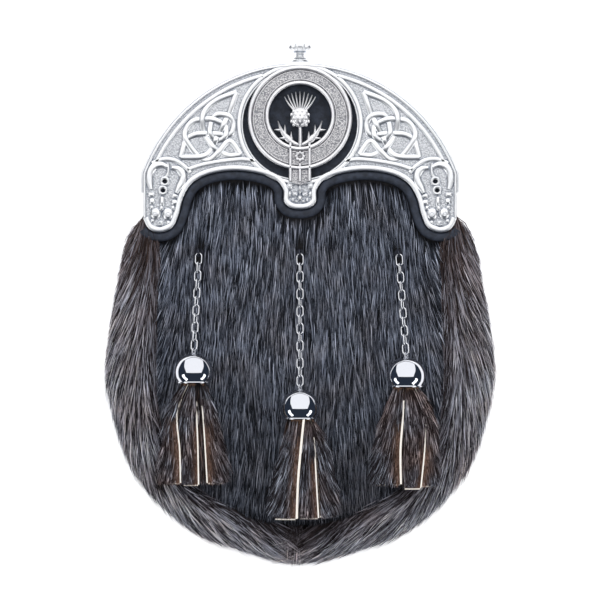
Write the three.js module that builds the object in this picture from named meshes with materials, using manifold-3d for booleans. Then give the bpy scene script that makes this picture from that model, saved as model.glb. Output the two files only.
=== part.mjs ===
// Dress sporran pouch, lying on its back: the front faces +Z and the cantle points to +Y.
// Millimetres. The origin is under the middle of its outline, on the surface that it lies on.
import * as THREE from 'three';
import { mergeVertices } from 'three/addons/utils/BufferGeometryUtils.js';
import Module from 'manifold-3d';

const wasm = await Module();
wasm.setup();

// Driving dimensions
const halfHeight = 126;         // middle of the outline to the knob's top, and to the fur's point
const clearance = 0.3;          // between pieces that touch

const level = {                 // heights above the surface, from back to front
  backFace: 4.5,                // outer face of the back leather
  gussetBack: 6.8,
  frameFront: 26,               // front edge of the frame's back half
  wallBack: 17.9,               // back edge of the cantle's side wall
  gussetFront: 24.7,
  panelEdge: 25,                // underside of the fur panel at its edge
  plateBack: 30,
  plateGround: 31.5,            // the stippled ground of the casting
  badgeBack: 32.9,
};

const leather = { back: 2, gusset: 1.8, backing: 1.9, piping: 1.9, loop: 1.8 };

const cantle = {
  arcCentreY: 34.8,
  arcRadius: 80,
  sideHalfWidth: 75.2,
  wall: 1.6,
  windowY: 85.9,
  windowHalfWidth: 27.4,
  windowHalfHeight: 26.4,
  rim: 1.5,                     // width of the raised outer rim
  frame: 2,                     // width of the raised line round each knot panel
  frameRadius: 76.2,
  rimRise: 1,
  knotRise: 0.8,
  maskRise: 1.2,
};

const backFrame = { wall: 1.2, endY: 53.3, flangeRadius: 4.6, flangeHeight: 1.2 };

const knob = {
  axisZ: 21,
  stemRadius: 1.5,
  neckRadius: 3.3,
  cupRadius: 5.6,
  latchLength: 7,
  latchDrop: 9,                 // how far the stem reaches inside
};

const badge = {
  centreY: 88.8,
  radius: 25,
  openingRadius: 14.9,
  openingUp: 1,                 // how far the opening's centre lies above the ring's
  rim: 1.9,
  plate: 1.2,
  rise: 1,
  tailHalf: 5.4,
  tailTop: 66,
  tailBottom: 58.5,
};

const panel = {
  thickness: 4.2,
  crown: 4.4,
  middleY: -20,
  reachX: 74,
  reachY: 92,
  halfWidth: 76,
  lowY: -110,
  highY: 66,
  strips: 12,                   // the fur lies in strips that run down it, each a little proud of the next
  stripRise: 0.4,
  chainHole: 2.2,
};
const piping = { reach: 4.3, halfWidth: cantle.sideHalfWidth + 0.4 };

const link = { wire: 0.75, width: 3.9, length: 6.1, segments: 10, sides: 5, turned: 88, tilt: 12 };
const eye = { radius: 1.5, wire: 0.9 };
const cap = { radius: 9.3, height: 14.2, wall: 1 };
const tassel = {
  strips: 8,
  headShare: 0.8,               // width inside the cap, as a share of the width at its mouth
  rimRadius: 6.3,
  halfWidth: 13.6,
  halfDepth: 8.4,
  groove: 2.8,
  ragged: 1.3,
};

const colour = {
  metal: 0xdfe1e6,
  badge: 0xbdbcc2,
  chrome: 0xe6e8ec,
  blackLeather: 0x23262e,
  fur: 0x4b4a52,
  tassel: 0x5a4a44,
};

// Half outlines, from the top down; the other half is mirrored
const pouchHalf = [             // seam between the fur panel, the gusset and the ruff
  { y: 52, x: 73.3 },
  { y: 46, x: 73.2 },
  { y: 38, x: 71.8 },
  { y: 28, x: 68.8 },
  { y: 8, x: 69 },
  { y: -30, x: 70.5 },
  { y: -54, x: 69 },
  { y: -73, x: 64 },
  { y: -87, x: 52.5 },
  { y: -98, x: 33 },
  { y: -104, x: 15 },
];
const pouchBottom = { y: -105.5, x: 0 };

const furHalf = [               // outside of the ruff
  { y: 38, x: 78.4 },
  { y: 25, x: 83 },
  { y: 12, x: 86 },
  { y: -10, x: 90.3 },
  { y: -33, x: 93 },
  { y: -56, x: 89 },
  { y: -79, x: 80.2 },
  { y: -101.5, x: 60.5 },
  { y: -113, x: 42 },
];
const furBottom = { y: -halfHeight + 2, x: 0 };

const scallopHalf = [           // lower edge of the cantle, from the tongue out to the end lobe
  { x: 0, y: 44.9 },
  { x: 5, y: 45.8 },
  { x: 7.9, y: 49 },
  { x: 8.2, y: 54.4 },
  { x: 12, y: 59.2 },
  { x: 20.5, y: 62.3 },
  { x: 32, y: 63.5 },
  { x: 43.5, y: 61.8 },
  { x: 51.5, y: 57.6 },
  { x: 55.8, y: 51 },
  { x: 58, y: 43 },
  { x: 61, y: 36.4 },
  { x: 66.8, y: 33.9 },
  { x: 72.4, y: 35.3 },
  { x: 75.2, y: 40.5 },
];

// The interlaced strand of a knot panel, charted on a small grid from the panel's top left corner
const knotGrid = { left: -61.4, top: 105.1, step: 0.251, strand: 2 };
const knotCorners = { top: [123, 11], right: [130, 134], left: [12, 139.5] };
const knotCrossings = {
  a: [54.5, 65], b: [59, 93], c: [75, 118.5], d: [88.5, 128], e: [48, 139],
  f: [22.5, 105], g: [74.5, 64.5], h: [97, 75], i: [100.5, 97], j: [81.5, 105],
  k: [70, 92.7], l: [106, 57.7], m: [87.5, 94.3],
};
const knotBends = {
  n1: [84, 26], n2: [62, 45], n3: [108, 136.5], n4: [109, 108], n5: [69, 144.5], n6: [22, 86],
  n7: [36, 68.5], n8: [102, 86], n9: [92, 104.5], n10: [71, 78], n11: [86, 55], n12: [116, 72],
  n13: [113, 91], n14: [40, 95], n15: [17, 121], n16: [66, 132.5], n17: [114, 35],
};
const knotRuns = [
  ['top', 'n1', 'n2', 'a', 'b', 'c', 'd', 'n3', 'right'],
  [
    'right', 'n4', 'd', 'n5', 'e', 'f', 'n6', 'n7', 'a', 'g', 'h', 'n8', 'i', 'n9', 'j', 'k',
    'n10', 'g', 'n11', 'l', 'n12', 'n13', 'i', 'm', 'k', 'b', 'n14', 'f', 'n15', 'left',
  ],
  ['left', 'e', 'n16', 'c', 'j', 'm', 'h', 'l', 'n17', 'top'],
];

const chains = [
  {
    name: 'left', links: 11, anchorX: -48.5, anchorY: 24.3,
    capX: -50.7, capTop: -24.1, tasselX: -50.9, tasselEnd: -86.4,
  },
  {
    name: 'centre', links: 15, anchorX: 0, anchorY: 24,
    capX: 0, capTop: -41.3, tasselX: 0.8, tasselEnd: -102.4,
  },
  {
    name: 'right', links: 11, anchorX: 47.4, anchorY: 23.8,
    capX: 50.6, capTop: -26, tasselX: 48.4, tasselEnd: -87.4,
  },
];

const object = new THREE.Group();

function addPiece(name, geometry, paint, roughness, metalness) {
  const finish = new THREE.MeshStandardMaterial({ color: paint, roughness, metalness });
  const mesh = new THREE.Mesh(geometry, finish);
  mesh.name = name;
  object.add(mesh);
  return mesh;
}

// Joining and cutting

function toSolid(geometry) {
  const bare = geometry.clone();
  bare.deleteAttribute('normal');
  bare.deleteAttribute('uv');
  const merged = mergeVertices(bare, 1e-4);
  return new wasm.Manifold(new wasm.Mesh({
    numProp: 3,
    vertProperties: new Float32Array(merged.attributes.position.array),
    triVerts: new Uint32Array(merged.index.array),
  }));
}

function toGeometry(solid) {
  const mesh = solid.getMesh();
  const geometry = new THREE.BufferGeometry();
  geometry.setAttribute('position', new THREE.BufferAttribute(new Float32Array(mesh.vertProperties), 3));
  geometry.setIndex(new THREE.BufferAttribute(new Uint32Array(mesh.triVerts), 1));
  geometry.computeVertexNormals();
  return geometry;
}

function joinAll(solids) {
  return solids.reduce((whole, next) => whole.add(next));
}

// Outlines

const mirrorPoint = (point) => new THREE.Vector2(-point.x, point.y);
const asPoint = (row) => new THREE.Vector2(row.x, row.y);

function mirroredLine(half, middle, count) {
  const right = half.map(asPoint);
  const left = half.map(mirrorPoint);
  const line = new THREE.SplineCurve([...left, asPoint(middle), ...right.reverse()]);
  return line.getSpacedPoints(count);
}

function normalAt(points, index) {
  const before = points[Math.max(index - 1, 0)];
  const after = points[Math.min(index + 1, points.length - 1)];
  const along = after.clone().sub(before).normalize();
  return new THREE.Vector2(along.y, -along.x);
}

function distanceToLine(point, points) {
  let nearest = Infinity;
  for (let index = 1; index < points.length; index += 1) {
    const start = points[index - 1];
    const step = points[index].clone().sub(start);
    const share = THREE.MathUtils.clamp(point.clone().sub(start).dot(step) / step.lengthSq(), 0, 1);
    nearest = Math.min(nearest, point.distanceTo(step.multiplyScalar(share).add(start)));
  }
  return nearest;
}

// Moves a line to its right-hand side; points that fold over in a tight corner are dropped
function offsetLine(points, distance) {
  const rightOf = (start, end) => {
    const along = end.clone().sub(start).normalize();
    return new THREE.Vector2(along.y, -along.x);
  };
  const moved = points.map((point, index) => {
    const before = rightOf(points[Math.max(index - 1, 0)], points[Math.max(index, 1)]);
    const last = points.length - 1;
    const after = rightOf(points[Math.min(index, last - 1)], points[Math.min(index + 1, last)]);
    const middle = before.clone().add(after).normalize();
    return point.clone().addScaledVector(middle, distance / middle.dot(after));
  });
  return moved.filter((point) => distanceToLine(point, points) > Math.abs(distance) - 0.02);
}

function shapeOf(points, holes = []) {
  const shape = new THREE.Shape(points);
  shape.holes.push(...holes.map((hole) => new THREE.Path(hole)));
  return shape;
}

function slab(points, bottom, top, holes) {
  const depth = top - bottom;
  const geometry = new THREE.ExtrudeGeometry(shapeOf(points, holes), { depth, bevelEnabled: false });
  geometry.translate(0, 0, bottom);
  return toSolid(geometry);
}

function band(lineA, lineB, bottom, top) {
  return slab([...lineA, ...lineB.slice().reverse()], bottom, top);
}

function circlePoints(x, y, radius, count) {
  return Array.from({ length: count }, (unused, index) => {
    const angle = (2 * Math.PI * index) / count;
    return new THREE.Vector2(x + radius * Math.cos(angle), y + radius * Math.sin(angle));
  });
}

function ovalPoints(y, halfWidth, tall, count) {
  const stretched = (point) => new THREE.Vector2(point.x * halfWidth, y + point.y * tall);
  return circlePoints(0, 0, 1, count).map(stretched);
}

function ringSlab(x, y, outer, inner, count, bottom, top) {
  return slab(circlePoints(x, y, outer, count), bottom, top, [circlePoints(x, y, inner, count)]);
}

// A closed body through rings of points; each ring runs counterclockwise, seen from the last ring
function loft(rings) {
  const around = rings[0].length;
  const sumOf = (ring) => ring.reduce((sum, point) => sum.add(point), new THREE.Vector3());
  const middleOf = (ring) => sumOf(ring).divideScalar(around);
  const places = [...rings.flat(), middleOf(rings[0]), middleOf(rings[rings.length - 1])];
  const startMiddle = places.length - 2;
  const endMiddle = places.length - 1;
  const lastRing = (rings.length - 1) * around;
  const faces = [];
  for (let side = 0; side < around; side += 1) {
    const beside = (side + 1) % around;
    for (let row = 0; row < lastRing; row += around) {
      faces.push(row + side, row + beside, row + beside + around);
      faces.push(row + side, row + beside + around, row + side + around);
    }
    faces.push(startMiddle, beside, side);
    faces.push(endMiddle, lastRing + side, lastRing + beside);
  }
  return new wasm.Manifold(new wasm.Mesh({
    numProp: 3,
    vertProperties: new Float32Array(places.flatMap((point) => point.toArray())),
    triVerts: new Uint32Array(faces),
  }));
}

// A flat-topped bar along a line of points
function bar(points, width, bottom, top) {
  return loft(points.map((point, index) => {
    const side = normalAt(points, index).multiplyScalar(width / 2);
    const corner = (out, height) => new THREE.Vector3(point.x + side.x * out, point.y + side.y * out, height);
    return [corner(1, bottom), corner(-1, bottom), corner(-1, top), corner(1, top)];
  }));
}

// A strand with a ridged top, whose height may change along its points
function ridge(points, width, bottom, tops) {
  return loft(points.map((point, index) => {
    const side = normalAt(points, index).multiplyScalar(width / 2);
    return [
      new THREE.Vector3(point.x + side.x, point.y + side.y, bottom),
      new THREE.Vector3(point.x - side.x, point.y - side.y, bottom),
      new THREE.Vector3(point.x, point.y, tops[index]),
    ];
  }));
}

function curveThrough(rows, count) {
  return new THREE.SplineCurve(rows.map(([x, y]) => new THREE.Vector2(x, y))).getSpacedPoints(count);
}

const scallop = mirroredLine(scallopHalf.slice(1).reverse(), scallopHalf[0], 34);

// The arc over the cantle, from the right side round to the left, at a distance inside its edge
function arcLine(radius, halfWidth, endY, count) {
  const angle = Math.acos(halfWidth / radius);
  const points = [new THREE.Vector2(halfWidth, endY)];
  for (let index = 0; index <= count; index += 1) {
    const turn = angle + ((Math.PI - 2 * angle) * index) / count;
    points.push(new THREE.Vector2(radius * Math.cos(turn), cantle.arcCentreY + radius * Math.sin(turn)));
  }
  points.push(new THREE.Vector2(-halfWidth, endY));
  return points;
}

const lobeTop = 41;
const edgeArc = (inset) => arcLine(cantle.arcRadius - inset, cantle.sideHalfWidth - inset, lobeTop, 18);

// The cantle's casting

function knotPoint(name) {
  const [across, down] = knotCorners[name] ?? knotCrossings[name] ?? knotBends[name];
  return new THREE.Vector2(knotGrid.left + across * knotGrid.step, knotGrid.top - down * knotGrid.step);
}

function knotStrands() {
  const ground = level.plateGround;
  const pieces = [];
  let over = false;
  knotRuns.forEach((run) => {
    const lifts = run.map((name) => {
      if (!(name in knotCrossings)) {
        return 0;
      }
      over = !over;
      return over ? 0.25 : -0.25;
    });
    const places = run.map((name, index) => {
      const place = knotPoint(name);
      return new THREE.Vector3(place.x, place.y, ground + cantle.knotRise + lifts[index]);
    });
    const curve = new THREE.CatmullRomCurve3(places, false, 'centripetal');
    const steps = run.length;
    const points = curve.getPoints(steps);
    const chunk = 8;
    for (let start = 0; start < steps; start += chunk) {
      const part = points.slice(start, start + chunk + 1);
      const flat = part.map((point) => new THREE.Vector2(point.x, point.y));
      pieces.push(ridge(flat, knotGrid.strand * 1.35, ground - 0.3, part.map((point) => point.z)));
    }
  });
  return pieces;
}

function disc(x, y, radius, count, bottom, top) {
  return slab(circlePoints(x, y, radius, count), bottom, top);
}

// The horned mask on the left end lobe, and the holes that are drilled through it
const maskHoles = [{ x: -64.9, y: 58.4 }, { x: -65.8, y: 54.1 }];

function lobeMask() {
  const low = level.plateGround - 0.3;
  const high = level.plateGround + cantle.maskRise;
  const horns = [
    [[-65.4, 65.4], [-69.3, 66], [-72, 63.2], [-72.2, 59], [-71.2, 55]],
    [[-61.2, 64.4], [-57.8, 63.4], [-56.4, 60], [-58, 56.4], [-59.6, 53.6]],
  ];
  const pieces = horns.map((rows) => {
    const points = curveThrough(rows, 4);
    return ridge(points, 2.7, low, points.map(() => high));
  });
  pieces.push(bar([new THREE.Vector2(-63.2, 66.4), new THREE.Vector2(-64.4, 60)], 1.5, low, high));
  pieces.push(bar([new THREE.Vector2(-66.2, 51.8), new THREE.Vector2(-67, 46.2)], 2.1, low, high));
  [[-71.3, 49.4, 1.5], [-59.8, 48.6, 1.6], [-69.6, 43.2, 2.7], [-63.9, 42.6, 3.4], [-67.8, 38.2, 1.5]]
    .forEach(([x, y, radius]) => pieces.push(disc(x, y, radius, 6, low, high)));
  maskHoles.forEach(({ x, y }) => pieces.push(disc(x, y, 1.9, 6, low, high)));
  return pieces;
}

function tongueMask() {
  const low = level.plateGround - 0.3;
  const high = level.plateGround + cantle.maskRise;
  return [
    disc(-5, 56.4, 1.7, 6, low, high),
    disc(5, 56.4, 1.7, 6, low, high),
    disc(-2.4, 52.6, 2.5, 7, low, high),
    disc(2.4, 52.6, 2.5, 7, low, high),
    disc(0, 49.4, 2.5, 7, low, high + 0.4),
  ];
}

// The raised line round a knot panel, which the window's rim closes on the inner side
function framePanel() {
  const low = level.plateGround - 0.3;
  const high = level.plateGround + cantle.knotRise;
  const arc = Array.from({ length: 8 }, (unused, index) => {
    const turn = THREE.MathUtils.degToRad(103.5 + 51 * (index / 7));
    return new THREE.Vector2(
      cantle.frameRadius * Math.cos(turn), cantle.arcCentreY + cantle.frameRadius * Math.sin(turn),
    );
  });
  const overMask = curveThrough([[-71, 67], [-66, 69], [-60.4, 68.6], [-56, 66], [-52.6, 62.6]], 5);
  const underKnot = curveThrough([[-54, 64], [-47.4, 66.2], [-38, 68], [-28, 69]], 4);
  return [arc, overMask, underKnot].map((line) => bar(line, cantle.frame, low, high));
}

const mirrorX = (solid) => solid.mirror([1, 0, 0]);

function buildCantle() {
  const outer = [...edgeArc(0), ...scallop.slice(1, -1)];
  const windowLine = (grow) => ovalPoints(
    cantle.windowY, cantle.windowHalfWidth + grow, cantle.windowHalfHeight + grow, 20,
  );
  const plate = slab(outer, level.plateBack, level.plateGround, [windowLine(0)]);
  const rimTop = level.plateGround + cantle.rimRise;
  const rimLow = level.plateGround - 0.3;
  const upperRim = band(edgeArc(0), edgeArc(cantle.rim), rimLow, rimTop);
  const lowerRim = band(scallop, offsetLine(scallop, -cantle.frame), rimLow, rimTop);
  const sideWall = band(edgeArc(0), edgeArc(cantle.wall), level.wallBack, level.plateBack + 0.5);
  const windowRim = slab(windowLine(cantle.frame), rimLow, rimTop, [windowLine(0)]);
  const relief = joinAll([...framePanel(), ...knotStrands(), ...lobeMask()]);
  let casting = joinAll([
    plate, upperRim, lowerRim, sideWall, windowRim, relief, mirrorX(relief), ...tongueMask(),
  ]);
  maskHoles.forEach(({ x, y }) => {
    const drill = disc(x, y, 0.9, 6, level.plateBack - 1, level.plateGround + 4);
    casting = casting.subtract(drill).subtract(mirrorX(drill));
  });
  return casting.subtract(stemHole());
}

// A cylinder along Y at the knob's axis
function alongY(radius, from, to, sides) {
  const geometry = new THREE.CylinderGeometry(radius, radius, to - from, sides);
  geometry.translate(0, (from + to) / 2, knob.axisZ);
  return toSolid(geometry);
}

function stemHole() {
  return alongY(knob.stemRadius + 0.4, 100, 120, 8);
}

const frameReach = clearance + backFrame.wall;
const frameTop = cantle.arcCentreY + cantle.arcRadius + frameReach;

function buildBackFrame() {
  const lineAt = (out) => arcLine(cantle.arcRadius + out, cantle.sideHalfWidth + out, backFrame.endY, 18);
  const strip = band(lineAt(frameReach), lineAt(clearance), level.gussetBack, level.frameFront);
  const flange = alongY(backFrame.flangeRadius, frameTop - 0.5, frameTop + backFrame.flangeHeight, 12);
  return strip.add(flange).subtract(stemHole());
}

function lathe(rows, sides) {
  return new THREE.LatheGeometry(rows.map(([radius, height]) => new THREE.Vector2(radius, height)), sides);
}

function buildKnob() {
  const foot = frameTop + backFrame.flangeHeight + clearance;
  const inside = frameTop - knob.latchDrop;
  const turned = lathe([
    [0, inside],
    [knob.stemRadius, inside],
    [knob.stemRadius, foot],
    [knob.neckRadius, foot],
    [knob.neckRadius - 0.9, foot + 1.6],
    [knob.neckRadius, foot + 2.8],
    [knob.cupRadius, halfHeight - 4.2],
    [knob.cupRadius, halfHeight - 2.4],
    [knob.cupRadius - 1.8, halfHeight - 0.8],
    [0, halfHeight],
  ], 12);
  turned.translate(0, 0, knob.axisZ);
  const latch = new THREE.BoxGeometry(2, 1.6, knob.latchLength);
  latch.translate(0, inside + 0.5, knob.axisZ);
  return toSolid(turned).add(toSolid(latch));
}

// The badge: a ring with two raised rims, a thistle inside it and a tail down to the tongue

function buildBadge() {
  const low = level.badgeBack;
  const face = low + badge.plate;
  const high = face + badge.rise;
  const openingY = badge.centreY + badge.openingUp;
  const hole = circlePoints(0, openingY, badge.openingRadius, 16);
  const ring = slab(circlePoints(0, badge.centreY, badge.radius, 22), low, face, [hole]);
  const outerRim = ringSlab(0, badge.centreY, badge.radius, badge.radius - badge.rim, 22, face - 0.3, high);
  const innerEdge = badge.openingRadius + badge.rim;
  const innerRim = ringSlab(0, openingY, innerEdge, badge.openingRadius, 16, face - 0.3, high);
  const tail = slab([
    new THREE.Vector2(-badge.tailHalf, badge.tailBottom),
    new THREE.Vector2(0, badge.tailBottom - 2),
    new THREE.Vector2(badge.tailHalf, badge.tailBottom),
    new THREE.Vector2(badge.tailHalf, badge.tailTop),
    new THREE.Vector2(-badge.tailHalf, badge.tailTop),
  ], low, high);
  return joinAll([ring, outerRim, innerRim, tail, ...thistle(low, high)]);
}

function thistle(low, high) {
  const middleY = badge.centreY + badge.openingUp;
  const bottom = middleY - badge.openingRadius - 1;
  const bulb = new THREE.SphereGeometry(5, 8, 6);
  bulb.scale(1, 0.92, 0.42);
  bulb.translate(0, middleY - 0.6, low + 1);
  const pieces = [
    toSolid(bulb).intersect(slab(circlePoints(0, middleY, 20, 8), low, high + 6)),
    bar([new THREE.Vector2(0, bottom), new THREE.Vector2(0, middleY - 4)], 1.7, low, high),
  ];
  for (let tuft = -2; tuft <= 2; tuft += 1) {
    const lean = tuft * 0.3;
    const start = new THREE.Vector2(tuft * 1.3, middleY + 2.4);
    const reach = 8.6 - Math.abs(tuft) * 0.5;
    const end = new THREE.Vector2(start.x + reach * Math.sin(lean), start.y + reach * Math.cos(lean));
    pieces.push(bar([start, end], 1.3, low, high - 0.2));
  }
  const leaf = [[0, 1.6], [4.6, 3.4], [9, 8.6], [10.8, 12.6]];
  const barbs = [[[4.6, 3.4], [5.2, 8]], [[7.4, 6.4], [11.4, 6.2]]];
  [-1, 1].forEach((side) => {
    const placed = (rows) => rows.map(([across, up]) => [side * across, bottom + up]);
    pieces.push(bar(curveThrough(placed(leaf), 2), 2.6, low, high - 0.3));
    barbs.forEach((barb) => pieces.push(bar(curveThrough(placed(barb), 1), 1.5, low, high - 0.4)));
  });
  return pieces;
}

// Leather

// The leather edges stop level with the cantle's sides
function betweenSides() {
  const box = new THREE.BoxGeometry(2 * piping.halfWidth, 2 * halfHeight, 100);
  return toSolid(box);
}

function buildBacking() {
  const reach = offsetLine(scallop, piping.reach - 0.1);
  const upper = edgeArc(cantle.wall + clearance);
  const top = level.plateBack - clearance;
  return slab([...upper, ...reach], top - leather.backing, top).intersect(betweenSides());
}

function buildPiping() {
  const bottom = level.plateBack - 0.05;
  const [inner, outer] = [clearance, piping.reach].map((distance) => offsetLine(scallop, distance));
  return band(inner, outer, bottom, bottom + leather.piping).intersect(betweenSides());
}

const pouchLine = mirroredLine(pouchHalf, pouchBottom, 30);
const pouchEdge = offsetLine(pouchLine, -clearance / 2);

function buildGusset() {
  const inner = offsetLine(pouchLine, -clearance / 2 - leather.gusset);
  return band(pouchEdge, inner, level.gussetBack, level.gussetFront);
}

function buildBackPanel() {
  const upper = arcLine(cantle.arcRadius - 1, cantle.sideHalfWidth - 1, 48, 16);
  return slab([...upper, ...pouchEdge], level.backFace, level.backFace + leather.back);
}

function buildLoop(x) {
  const loop = { width: 12, reach: 26, foot: 7, bottom: 44 };
  const seat = level.backFace - clearance;
  const profile = [
    [0, 1], [loop.foot * 0.35, 0], [loop.reach - loop.foot * 0.35, 0], [loop.reach, 1],
    [loop.reach, seat], [loop.reach - loop.foot, seat], [loop.reach - loop.foot, leather.loop],
    [loop.foot, leather.loop], [loop.foot, seat], [0, seat],
  ].map(([along, height]) => new THREE.Vector2(along, height));
  const extrusion = { depth: loop.width, bevelEnabled: false };
  const geometry = new THREE.ExtrudeGeometry(new THREE.Shape(profile), extrusion);
  geometry.rotateX(Math.PI / 2);
  geometry.rotateZ(Math.PI / 2);
  geometry.translate(x - loop.width / 2, loop.bottom, 0);
  return geometry;
}

// Fur

function panelRise(x, y) {
  const across = 1 - Math.abs(x / panel.reachX) ** 2.4;
  const along = 1 - Math.abs((y - panel.middleY) / panel.reachY) ** 2.2;
  return panel.crown * Math.max(across, 0) * Math.max(along, 0);
}

const panelTop = (x, y) => level.panelEdge + panel.thickness + panelRise(x, y);

// A tapered lock of hair, root at the origin, pointing along +Y and drooping towards -Z
function lockGeometry(width, length, thickness, droop) {
  const geometry = new THREE.ConeGeometry(width / 2, length, 4, 2);
  geometry.translate(0, length / 2, 0);
  const place = geometry.attributes.position;
  for (let index = 0; index < place.count; index += 1) {
    const share = place.getY(index) / length;
    const full = Math.abs(share - 0.5) < 0.1 ? 1.7 : 1;
    const flat = (full * place.getZ(index) * thickness) / width;
    place.setXYZ(index, full * place.getX(index), place.getY(index), flat - droop * share * share);
  }
  return geometry;
}

function lockAt(root, direction, tilt, size) {
  const geometry = lockGeometry(size.width, size.length, size.thickness, size.droop);
  geometry.rotateX(tilt);
  geometry.rotateZ(Math.atan2(direction.y, direction.x) - Math.PI / 2);
  geometry.translate(root.x, root.y, root.z);
  return toSolid(geometry);
}

// A closed sheet between an upper and a lower surface, over a grid
function sheetBetween(halfX, lowY, highY, columns, rows, lower, upper) {
  const places = [];
  const faces = [];
  const count = (columns + 1) * (rows + 1);
  [lower, upper].forEach((surface) => {
    for (let row = 0; row <= rows; row += 1) {
      for (let column = 0; column <= columns; column += 1) {
        const x = -halfX + (2 * halfX * column) / columns;
        const y = lowY + ((highY - lowY) * row) / rows;
        places.push(x, y, surface(x, y));
      }
    }
  });
  const at = (column, row) => row * (columns + 1) + column;
  const quad = (a, b, c, d) => faces.push(a, b, c, a, c, d);
  for (let row = 0; row < rows; row += 1) {
    for (let column = 0; column < columns; column += 1) {
      const corners = [at(column, row), at(column + 1, row), at(column + 1, row + 1), at(column, row + 1)];
      quad(...corners.map((corner) => corner + count));
      quad(...corners.reverse());
    }
  }
  for (let column = 0; column < columns; column += 1) {
    quad(at(column, 0), at(column + 1, 0), at(column + 1, 0) + count, at(column, 0) + count);
    quad(at(column + 1, rows), at(column, rows), at(column, rows) + count, at(column + 1, rows) + count);
  }
  for (let row = 0; row < rows; row += 1) {
    quad(at(0, row + 1), at(0, row), at(0, row) + count, at(0, row + 1) + count);
    quad(at(columns, row), at(columns, row + 1), at(columns, row + 1) + count, at(columns, row) + count);
  }
  return new wasm.Manifold(new wasm.Mesh({
    numProp: 3, vertProperties: new Float32Array(places), triVerts: new Uint32Array(faces),
  }));
}

function furTop(x, y) {
  const column = Math.round(((x + panel.halfWidth) / (2 * panel.halfWidth)) * panel.strips);
  return panelTop(x, y) + (column % 2 ? panel.stripRise : 0);
}

function buildFurFront() {
  const low = level.panelEdge - 5;
  const high = level.panelEdge + 20;
  const under = (x, y) => level.panelEdge + panelRise(x, y);
  const skin = sheetBetween(panel.halfWidth, panel.lowY, panel.highY, panel.strips, 5, under, furTop);
  const halfTop = pouchEdge[0].x;
  const upper = [new THREE.Vector2(-halfTop, panel.highY), new THREE.Vector2(halfTop, panel.highY)];
  const cantleEdge = [...edgeArc(-6), ...offsetLine(scallop, piping.reach + clearance)];
  const inside = slab([...upper, ...pouchEdge], low, high);
  const trimmed = skin.intersect(inside).subtract(slab(cantleEdge, low, high));
  const holeAt = ({ anchorX, anchorY }) => disc(anchorX, anchorY, panel.chainHole, 6, low, high);
  return chains.reduce((whole, chain) => whole.subtract(holeAt(chain)), trimmed);
}

const furLine = mirroredLine(furHalf, furBottom, 30);

function furLineAt(share) {
  const place = share * (furLine.length - 1);
  const index = Math.min(Math.floor(place), furLine.length - 2);
  return furLine[index].clone().lerp(furLine[index + 1], place - index);
}

// The ruff's section: how far out from the seam, as a share of its width, and how high
const ruffSection = [
  { out: 0, z: 28.4 },
  { out: 0.36, z: 28.2 },
  { out: 0.68, z: 24.5 },
  { out: 0.84, z: 17 },
  { out: 0.84, z: 8 },
  { out: 0.7, z: 1.8 },
  { out: 0.46, z: 0 },
  { out: 0, z: 0.6 },
];

const ruff = { top: 47, lockWidth: 20, tipWidth: 22, sweep: 0.95 };

// Its locks, in two rows: from the seam outwards, and round the side
const ruffRows = [
  { out: 0.2, z: 26, tilt: -0.03, locks: 7, reach: 0.9, droop: 3, thickness: 7 },
  { out: 0.3, z: 13.5, tilt: 0, locks: 9, reach: 1.1, droop: 0, thickness: 16 },
];

function buildRuff() {
  const seam = offsetLine(pouchLine.filter((point) => point.y < ruff.top), clearance / 2);
  const count = seam.length - 1;
  const body = loft(seam.map((near, index) => {
    const far = furLineAt(index / count);
    return ruffSection.map(({ out, z }) => {
      const place = near.clone().lerp(far, out);
      return new THREE.Vector3(place.x, place.y, z);
    });
  }));
  const locks = ruffRows.flatMap((row, rowNumber) => {
    const placed = [];
    for (let index = 0; index < row.locks; index += 1) {
      const share = 0.03 + (0.46 * (index + 0.5 * (rowNumber % 2))) / row.locks;
      const near = seam[Math.round(share * count)];
      const outward = furLineAt(share).sub(near);
      const root = near.clone().addScaledVector(outward, row.out);
      const straight = outward.clone().normalize();
      const sweep = straight.clone().add(new THREE.Vector2(0, -ruff.sweep + 0.8 * share)).normalize();
      const length = (outward.length() * (row.reach - row.out)) / Math.max(sweep.dot(straight), 0.55);
      const { thickness, droop } = row;
      const size = { width: ruff.lockWidth, length: length + 1.5, thickness, droop };
      placed.push(lockAt(new THREE.Vector3(root.x, root.y, row.z), sweep, row.tilt, size));
    }
    return placed;
  });
  const tip = lockAt(
    new THREE.Vector3(0, pouchBottom.y - 1, 15), new THREE.Vector2(0, -1), 0,
    { width: ruff.tipWidth, length: halfHeight + pouchBottom.y - 1, thickness: 16, droop: 0 },
  );
  const fur = joinAll([body, tip, ...locks, ...locks.map(mirrorX)]);
  const high = 60;
  const upper = [new THREE.Vector2(-seam[0].x, high), new THREE.Vector2(seam[0].x, high)];
  const pouch = slab([...upper, ...seam], -1, high);
  const cantleEdge = offsetLine(scallop, piping.reach + clearance);
  const underCantle = slab([...edgeArc(-clearance), ...cantleEdge], -1, high).intersect(betweenSides());
  const aboveFloor = slab(circlePoints(0, 0, 4 * halfHeight, 4), 0, high);
  return fur.subtract(pouch).subtract(underCantle).intersect(aboveFloor);
}

// Chains, caps and tassels

// Height of a cap's middle, as it lies on the fur
function hangZ({ capX, capTop }) {
  return panelTop(capX, capTop - cap.height / 2) + 0.9 + cap.radius;
}

function capEye(chain) {
  return new THREE.Vector3(chain.capX, chain.capTop + eye.radius - 0.5, hangZ(chain));
}

function anchorEye({ anchorX, anchorY }) {
  return new THREE.Vector3(anchorX, anchorY, panelTop(anchorX, anchorY) + 2.4);
}

// The chain's line: it lies along the fur, then rises to the cap's eye
function chainPlace(chain, share) {
  const place = anchorEye(chain).lerp(capEye(chain), share);
  const rise = capEye(chain).z - anchorEye(chain).z;
  place.z -= rise * (share - share ** 1.5);
  return place;
}

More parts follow.
